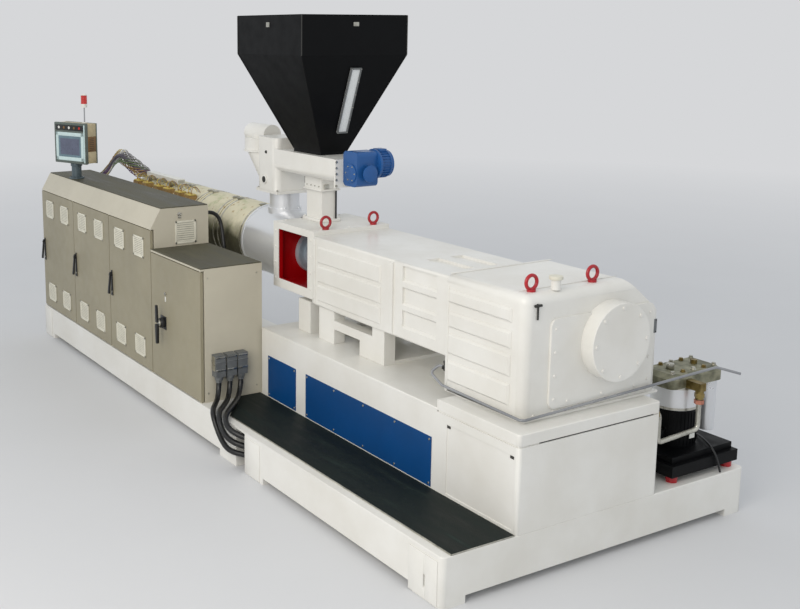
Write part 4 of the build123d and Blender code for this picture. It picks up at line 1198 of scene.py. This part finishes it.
class EXTRUDER_OT_base_fittings(bpy.types.Operator):
    """Adds the platform's doubling plates and the screws of the blue panels"""
    bl_idname = "extruder.base_fittings"
    bl_label = "Base Fittings"

    def execute(self, context):
        s = sizes()
        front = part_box("platform")[0].y
        die_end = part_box("plinth")[0].x
        foot, top = 0.004, 0.226
        bm = bmesh.new()
        for x0, x1, z0, z1 in ((0.884, 1.060, foot, top), (2.485, 2.598, foot, top),
                               (2.610, 2.698, foot, top), (2.598, 2.610, 0.125, top),
                               (2.598, 2.610, foot, 0.060),
                               (die_end + 0.004, die_end + 0.170, foot, 0.240)):
            slab(bm, (x0, front - 0.004, z0), (x1, front, z1), 0.0015)
        piece(bm, "doubling_plates", ["ivory_paint"])
        low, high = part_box("side_panels")
        bm = bmesh.new()
        for x0, x1 in ((low.x, low.x + 0.343), (low.x + 0.458, high.x)):
            count = max(2, round((x1 - x0) / 0.33) + 1)
            for x in spread(x0 + 0.016, x1 - 0.016, count):
                for z in (low.z + 0.016, high.z - 0.016):
                    cap_head(bm, (x, low.y, z), (0, -1, 0), s.screw, 0.003)
        piece(bm, "panel_screws", ["zinc_steel"])
        return {"FINISHED"}


class EXTRUDER_OT_oil_unit(bpy.types.Operator):
    """Adds bolts, bands, nuts and the thin hose of the oil unit"""
    bl_idname = "extruder.oil_unit"
    bl_label = "Oil Unit"

    def execute(self, context):
        low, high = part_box("oil_head")
        bm = bmesh.new()
        for k, y in enumerate(spread(low.y + 0.040, high.y - 0.040, 5)):
            for x in (low.x + 0.040, high.x - 0.040):
                hex_head(bm, (x, y, high.z), (0, 0, 1), 0.011, 0.014, index=k % 2)
        x, y = low.x + 0.115, low.y + 0.110
        rod(bm, (x, y, high.z), (x, y, high.z + 0.030), 0.022, round_by=0.003)
        y = high.y - 0.110
        rod(bm, (x, y, high.z), (x, y, high.z + 0.022), 0.018, sides=6, index=1)
        piece(bm, "oil_head_bolts", ["zinc_steel", "brass"])
        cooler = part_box("oil_cooler")
        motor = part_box("oil_motor")
        x, y = (motor[0].x + motor[1].x) / 2, (motor[0].y + motor[1].y) / 2
        r = (motor[1].x - motor[0].x) / 2
        bm = bmesh.new()
        for z in (motor[1].z + 0.002, cooler[1].z - 0.016):
            band(bm, (x, y, z), (x, y, z + 0.012), r, r + 0.006, 56)
        piece(bm, "cooler_bands", ["zinc_steel"])
        bm = bmesh.new()
        for k in range(36):
            a = math.tau * k / 36
            turn = Matrix.Translation((x, y, 0)) @ Matrix.Rotation(a, 4, "Z")
            fin = slab(bm, (r - 0.004, -0.0018, motor[0].z + 0.012),
                       (r + 0.003, 0.0018, motor[1].z - 0.014))
            bmesh.ops.transform(bm, matrix=turn, verts=fin)
        slab(bm, (x - 0.050, y - r - 0.034, motor[0].z + 0.030),
             (x + 0.050, y - r + 0.010, motor[0].z + 0.095), 0.006)
        slab(bm, (x + r + 0.006, y - 0.020, motor[0].z + 0.050),
             (x + r + 0.009, y + 0.020, motor[0].z + 0.080), index=1)
        piece(bm, "oil_motor_fins", ["black_paint", "white_plastic"])
        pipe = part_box("oil_pipe")
        px, pr = (pipe[0].x + pipe[1].x) / 2, 0.0135
        bm = bmesh.new()
        for py, pz, axis, index in ((pipe[0].y + 0.002, 0.660, (0, 1, 0), 0),
                                    (pipe[1].y - pr, pipe[1].z - 0.026, (0, 0, 1), 1),
                                    (pipe[1].y - pr, pipe[1].z + 0.010, (0, 0, 1), 0)):
            base = Vector((px, py, pz))
            rod(bm, base, base + Vector(axis) * 0.022, 0.026, sides=6, index=index)
        piece(bm, "pipe_nuts", ["brass", "copper"])
        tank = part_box("oil_tank")
        edge, deck = tank[1].x, 0.254
        drain = [(2.500, 0.948, 0.380), (2.505, 0.946, 0.398), (2.560, 0.920, 0.402),
                 (2.620, 0.885, 0.402), (edge - 0.028, 0.858, 0.396),
                 (edge + 0.006, 0.858, 0.360), (edge + 0.014, 0.870, 0.320),
                 (edge + 0.014, 0.888, 0.275), (edge + 0.014, 0.895, deck + 0.004)]
        line("drain_pipe", [drain], 0.012, ["black_plastic"])
        return {"FINISHED"}


class EXTRUDER_OT_cables(bpy.types.Operator):
    """Lays the power cables, the control hose and the heaters' loom"""
    bl_idname = "extruder.cables"
    bl_label = "Cables and Loom"

    def execute(self, context):
        s = sizes()
        for name, points, width, real, lay in CORDS:
            spots = metres(points)
            finish = "wire_sleeve" if name == "heater_loom" else "cable_jacket"
            tube = line(CORD_NAMES[name], [spots], width, [finish])
            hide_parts(name)
            extra = []
            if name == "heater_loom":
                extra = [self.loose_wires(spots, s.wires)]
        low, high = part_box("cable_sockets")
        bm = bmesh.new()
        for reach in (0.109, 0.189, 0.268):
            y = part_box("door_4")[0].y + reach
            x = low.x + 0.031
            rod(bm, (x, y, low.z - 0.026), (x, y, low.z), 0.026, 0.029, sides=20, index=0,
                round_by=0.002)
            rod(bm, (x, y, low.z - 0.040), (x, y, low.z - 0.024), 0.023, sides=6, index=0)
            slab(bm, (low.x, y - 0.037, low.z + 0.092), (high.x + 0.002, y + 0.037, low.z + 0.102),
                 0.002, index=0)
            for side in (-0.0375, 0.0345):
                slab(bm, (low.x + 0.010, y + side, low.z + 0.040),
                     (high.x - 0.010, y + side + 0.003, low.z + 0.134), 0.001, index=1)
            for z0, z1 in ((0.040, 0.052), (0.124, 0.134)):
                slab(bm, (high.x, y - 0.034, low.z + z0), (high.x + 0.003, y + 0.034, low.z + z1),
                     0.001, index=1)
        piece(bm, "hood_levers", ["socket_grey", "zinc_steel"])
        return {"FINISHED"}

    def loose_wires(self, spots, count):
        """Thin wires that stray round the loom."""
        runs = []
        for k in range(count):
            run = []
            for i, spot in enumerate(spots):
                a = k * 2.4 + i * 0.55
                ends = min(i, len(spots) - 1 - i)
                stray = 0.016 + 0.026 * min(1.0, ends / 3) * (1 + math.sin(k * 1.7 + i))
                aside = stray * math.sin(a) * 0.4 if ends else 0.0
                run.append((spot[0] + stray * math.cos(a) * 0.8, spot[1] + aside,
                            spot[2] + stray * math.sin(a)))
            runs.append(run)
        return line("loose_heater_wires", runs, 0.007,
                    ["wire_grey", "wire_grey", "wire_purple", "wire_green", "white_plastic",
                     "brown_terminals", "wire_grey", "wire_yellow"])


CORD_NAMES = {"cable_1": "power_cable_1", "cable_2": "power_cable_2",
              "cable_3": "power_cable_3", "hose": "control_hose", "heater_loom": "wire_loom"}
CORDS = [
    ("cable_1",
     [(331, -900, 428), (331, -900, 382), (345, -911, 339), (371, -930, 306), (404, -957, 290),
      (452, -994, 287), (500, -1030, 286), (545, -1054, 264), (583, -1058, 222),
      (624, -1058, 176), (674, -1058, 136), (734, -1055, 108), (790, -1034, 98), (840, -999, 95),
      (894, -968, 95), (972, -954, 95), (1080, -950, 95), (1180, -950, 95)],
     0.034, 1.074, "loose"),
    ("cable_2",
     [(331, -820, 428), (331, -820, 382), (345, -831, 339), (371, -852, 306), (405, -879, 290),
      (454, -920, 288), (508, -966, 288), (556, -1010, 290), (601, -1043, 281),
      (641, -1057, 248), (680, -1058, 208), (732, -1056, 178), (788, -1035, 160),
      (840, -1000, 150), (894, -968, 146), (972, -953, 146), (1080, -948, 146),
      (1180, -948, 146)],
     0.034, 1.082, "loose"),
    ("cable_3",
     [(331, -741, 428), (331, -741, 382), (345, -753, 339), (370, -775, 306), (404, -804, 290),
      (454, -847, 288), (512, -898, 288), (566, -946, 289), (614, -988, 290),
      (656, -1024, 286), (696, -1047, 268), (740, -1052, 242), (790, -1034, 221),
      (840, -1000, 206), (894, -968, 199), (972, -953, 197), (1080, -948, 197),
      (1180, -948, 197)],
     0.034, 1.088, "loose"),
    ("hose",
     [(-516, -566, 1338), (-516, -526, 1338), (-512, -490, 1326), (-504, -464, 1302),
      (-495, -449, 1266), (-480, -445, 1206), (-462, -445, 1130), (-447, -446, 1062),
      (-438, -449, 1000), (-434, -462, 960), (-432, -488, 930), (-432, -526, 918),
      (-432, -566, 918)],
     0.028, 0.585, "hanging"),
    ("heater_loom",
     [(-2700, -566, 1330), (-2700, -522, 1330), (-2694, -474, 1348), (-2680, -434, 1386),
      (-2658, -404, 1436), (-2624, -386, 1486), (-2576, -374, 1524), (-2518, -364, 1540),
      (-2462, -352, 1528), (-2416, -332, 1496), (-2380, -302, 1458), (-2348, -268, 1428),
      (-2314, -233, 1411), (-2272, -217.5, 1405), (-2230, -217.5, 1405)],
     0.036, 0.767, "loose"),
]


CAMERA_AT = (6.325, -3.984, 2.588)
CAMERA_WAY = (-0.848, 0.502, -0.170)
CAMERA_LENS = 49.39
CAMERA_SHIFT = (0.148, -0.1035)
LAMP_AT = (4.0, -6.5, 4.4)
LAMP_AIM = (0.5, 0.0, 0.8)
LAMP_SIZE = 5.0


class EXTRUDER_OT_stage(bpy.types.Operator):
    """Sets the floor, the even light, the key lamp and the camera"""
    bl_idname = "extruder.stage"
    bl_label = "Stage and Camera"

    def execute(self, context):
        scene = context.scene
        s, c = sizes(), colours()
        scene.view_settings.view_transform = "Standard"
        world = bpy.data.worlds.new("studio")
        scene.world = world
        world.use_nodes = True
        tree = world.node_tree
        shade = tree.nodes["Background"]
        shade.inputs["Color"].default_value = (*c.sky, 1.0)
        shade.inputs["Strength"].default_value = s.sky_light
        bright = tree.nodes.new("ShaderNodeBackground")
        bright.inputs["Color"].default_value = (*c.floor, 1.0)
        bright.inputs["Strength"].default_value = 1.0
        rays = tree.nodes.new("ShaderNodeLightPath")
        mix = tree.nodes.new("ShaderNodeMixShader")
        tree.links.new(rays.outputs["Is Camera Ray"], mix.inputs[0])
        tree.links.new(shade.outputs[0], mix.inputs[1])
        tree.links.new(bright.outputs[0], mix.inputs[2])
        tree.links.new(mix.outputs[0], tree.nodes["World Output"].inputs["Surface"])
        bm = bmesh.new()
        bmesh.ops.create_grid(bm, x_segments=1, y_segments=1, size=60.0)
        mesh = bpy.data.meshes.new("floor")
        bm.to_mesh(mesh)
        bm.free()
        floor_paint = bpy.data.materials.new("floor_paint")
        tree, shader, place = wire_up(floor_paint)
        ground = tuple(c.floor)
        body = ramp(tree, cloud(tree, place, 0.7), (0.3, tuple(v * 0.97 for v in ground)),
                    (0.7, ground))
        tree.links.new(body, shader.inputs["Base Color"])
        shader.inputs["Roughness"].default_value = 0.7
        fade_out(tree, shader, place, ground, near=5.0, far=16.0)
        mesh.materials.append(floor_paint)
        floor = bpy.data.objects.new("floor", mesh)
        scene.collection.objects.link(floor)
        key = bpy.data.lights.new("key_lamp", "AREA")
        key.energy = s.key_light
        key.size = LAMP_SIZE
        key.color = c.key
        lamp = bpy.data.objects.new("key_lamp", key)
        lamp.location = LAMP_AT
        aim = Vector(LAMP_AIM) - lamp.location
        lamp.rotation_euler = aim.to_track_quat("-Z", "Y").to_euler()
        scene.collection.objects.link(lamp)
        lens_data = bpy.data.cameras.new("photo_view")
        lens_data.sensor_width = 36.0
        lens_data.lens = CAMERA_LENS
        lens_data.shift_x, lens_data.shift_y = CAMERA_SHIFT
        lens_data.clip_end = 200.0
        camera = bpy.data.objects.new("photo_view", lens_data)
        camera.location = CAMERA_AT
        camera.rotation_euler = Vector(CAMERA_WAY).to_track_quat("-Z", "Y").to_euler()
        scene.collection.objects.link(camera)
        scene.camera = camera
        return {"FINISHED"}


class EXTRUDER_PT_build(bpy.types.Panel):
    """Lists the pieces of the extruder and their settings"""
    bl_label = "Plastic Extruder"
    bl_idname = "EXTRUDER_PT_build"
    bl_space_type = "VIEW_3D"
    bl_region_type = "UI"
    bl_category = "Extruder"

    def draw(self, context):
        layout = self.layout
        for operator in PIECES:
            layout.operator(operator.bl_idname)
        for group in (context.scene.extruder_sizes, context.scene.extruder_colours):
            box = layout.box()
            for field in group.__annotations__:
                box.prop(group, field)


PIECES = (
    EXTRUDER_OT_paint_solids,
    EXTRUDER_OT_grilles,
    EXTRUDER_OT_handles,
    EXTRUDER_OT_main_switch,
    EXTRUDER_OT_cabinet_fittings,
    EXTRUDER_OT_terminal,
    EXTRUDER_OT_signal_lamp,
    EXTRUDER_OT_barrel_fittings,
    EXTRUDER_OT_heater_wiring,
    EXTRUDER_OT_hopper_fittings,
    EXTRUDER_OT_feeder_fittings,
    EXTRUDER_OT_feeder_motor,
    EXTRUDER_OT_gearbox_fittings,
    EXTRUDER_OT_coupling_fittings,
    EXTRUDER_OT_base_fittings,
    EXTRUDER_OT_oil_unit,
    EXTRUDER_OT_cables,
    EXTRUDER_OT_stage,
)
CLASSES = (ExtruderColours, ExtruderSizes, *PIECES, EXTRUDER_PT_build)


def register():
    for cls in CLASSES:
        bpy.utils.register_class(cls)
    bpy.types.Scene.extruder_colours = PointerProperty(type=ExtruderColours)
    bpy.types.Scene.extruder_sizes = PointerProperty(type=ExtruderSizes)


def unregister():
    del bpy.types.Scene.extruder_sizes
    del bpy.types.Scene.extruder_colours
    for cls in reversed(CLASSES):
        bpy.utils.unregister_class(cls)


def main():
    """Builds every piece in order."""
    register()
    for operator in PIECES:
        group, name = operator.bl_idname.split(".")
        getattr(getattr(bpy.ops, group), name)()


if __name__ == "__main__":
    main()
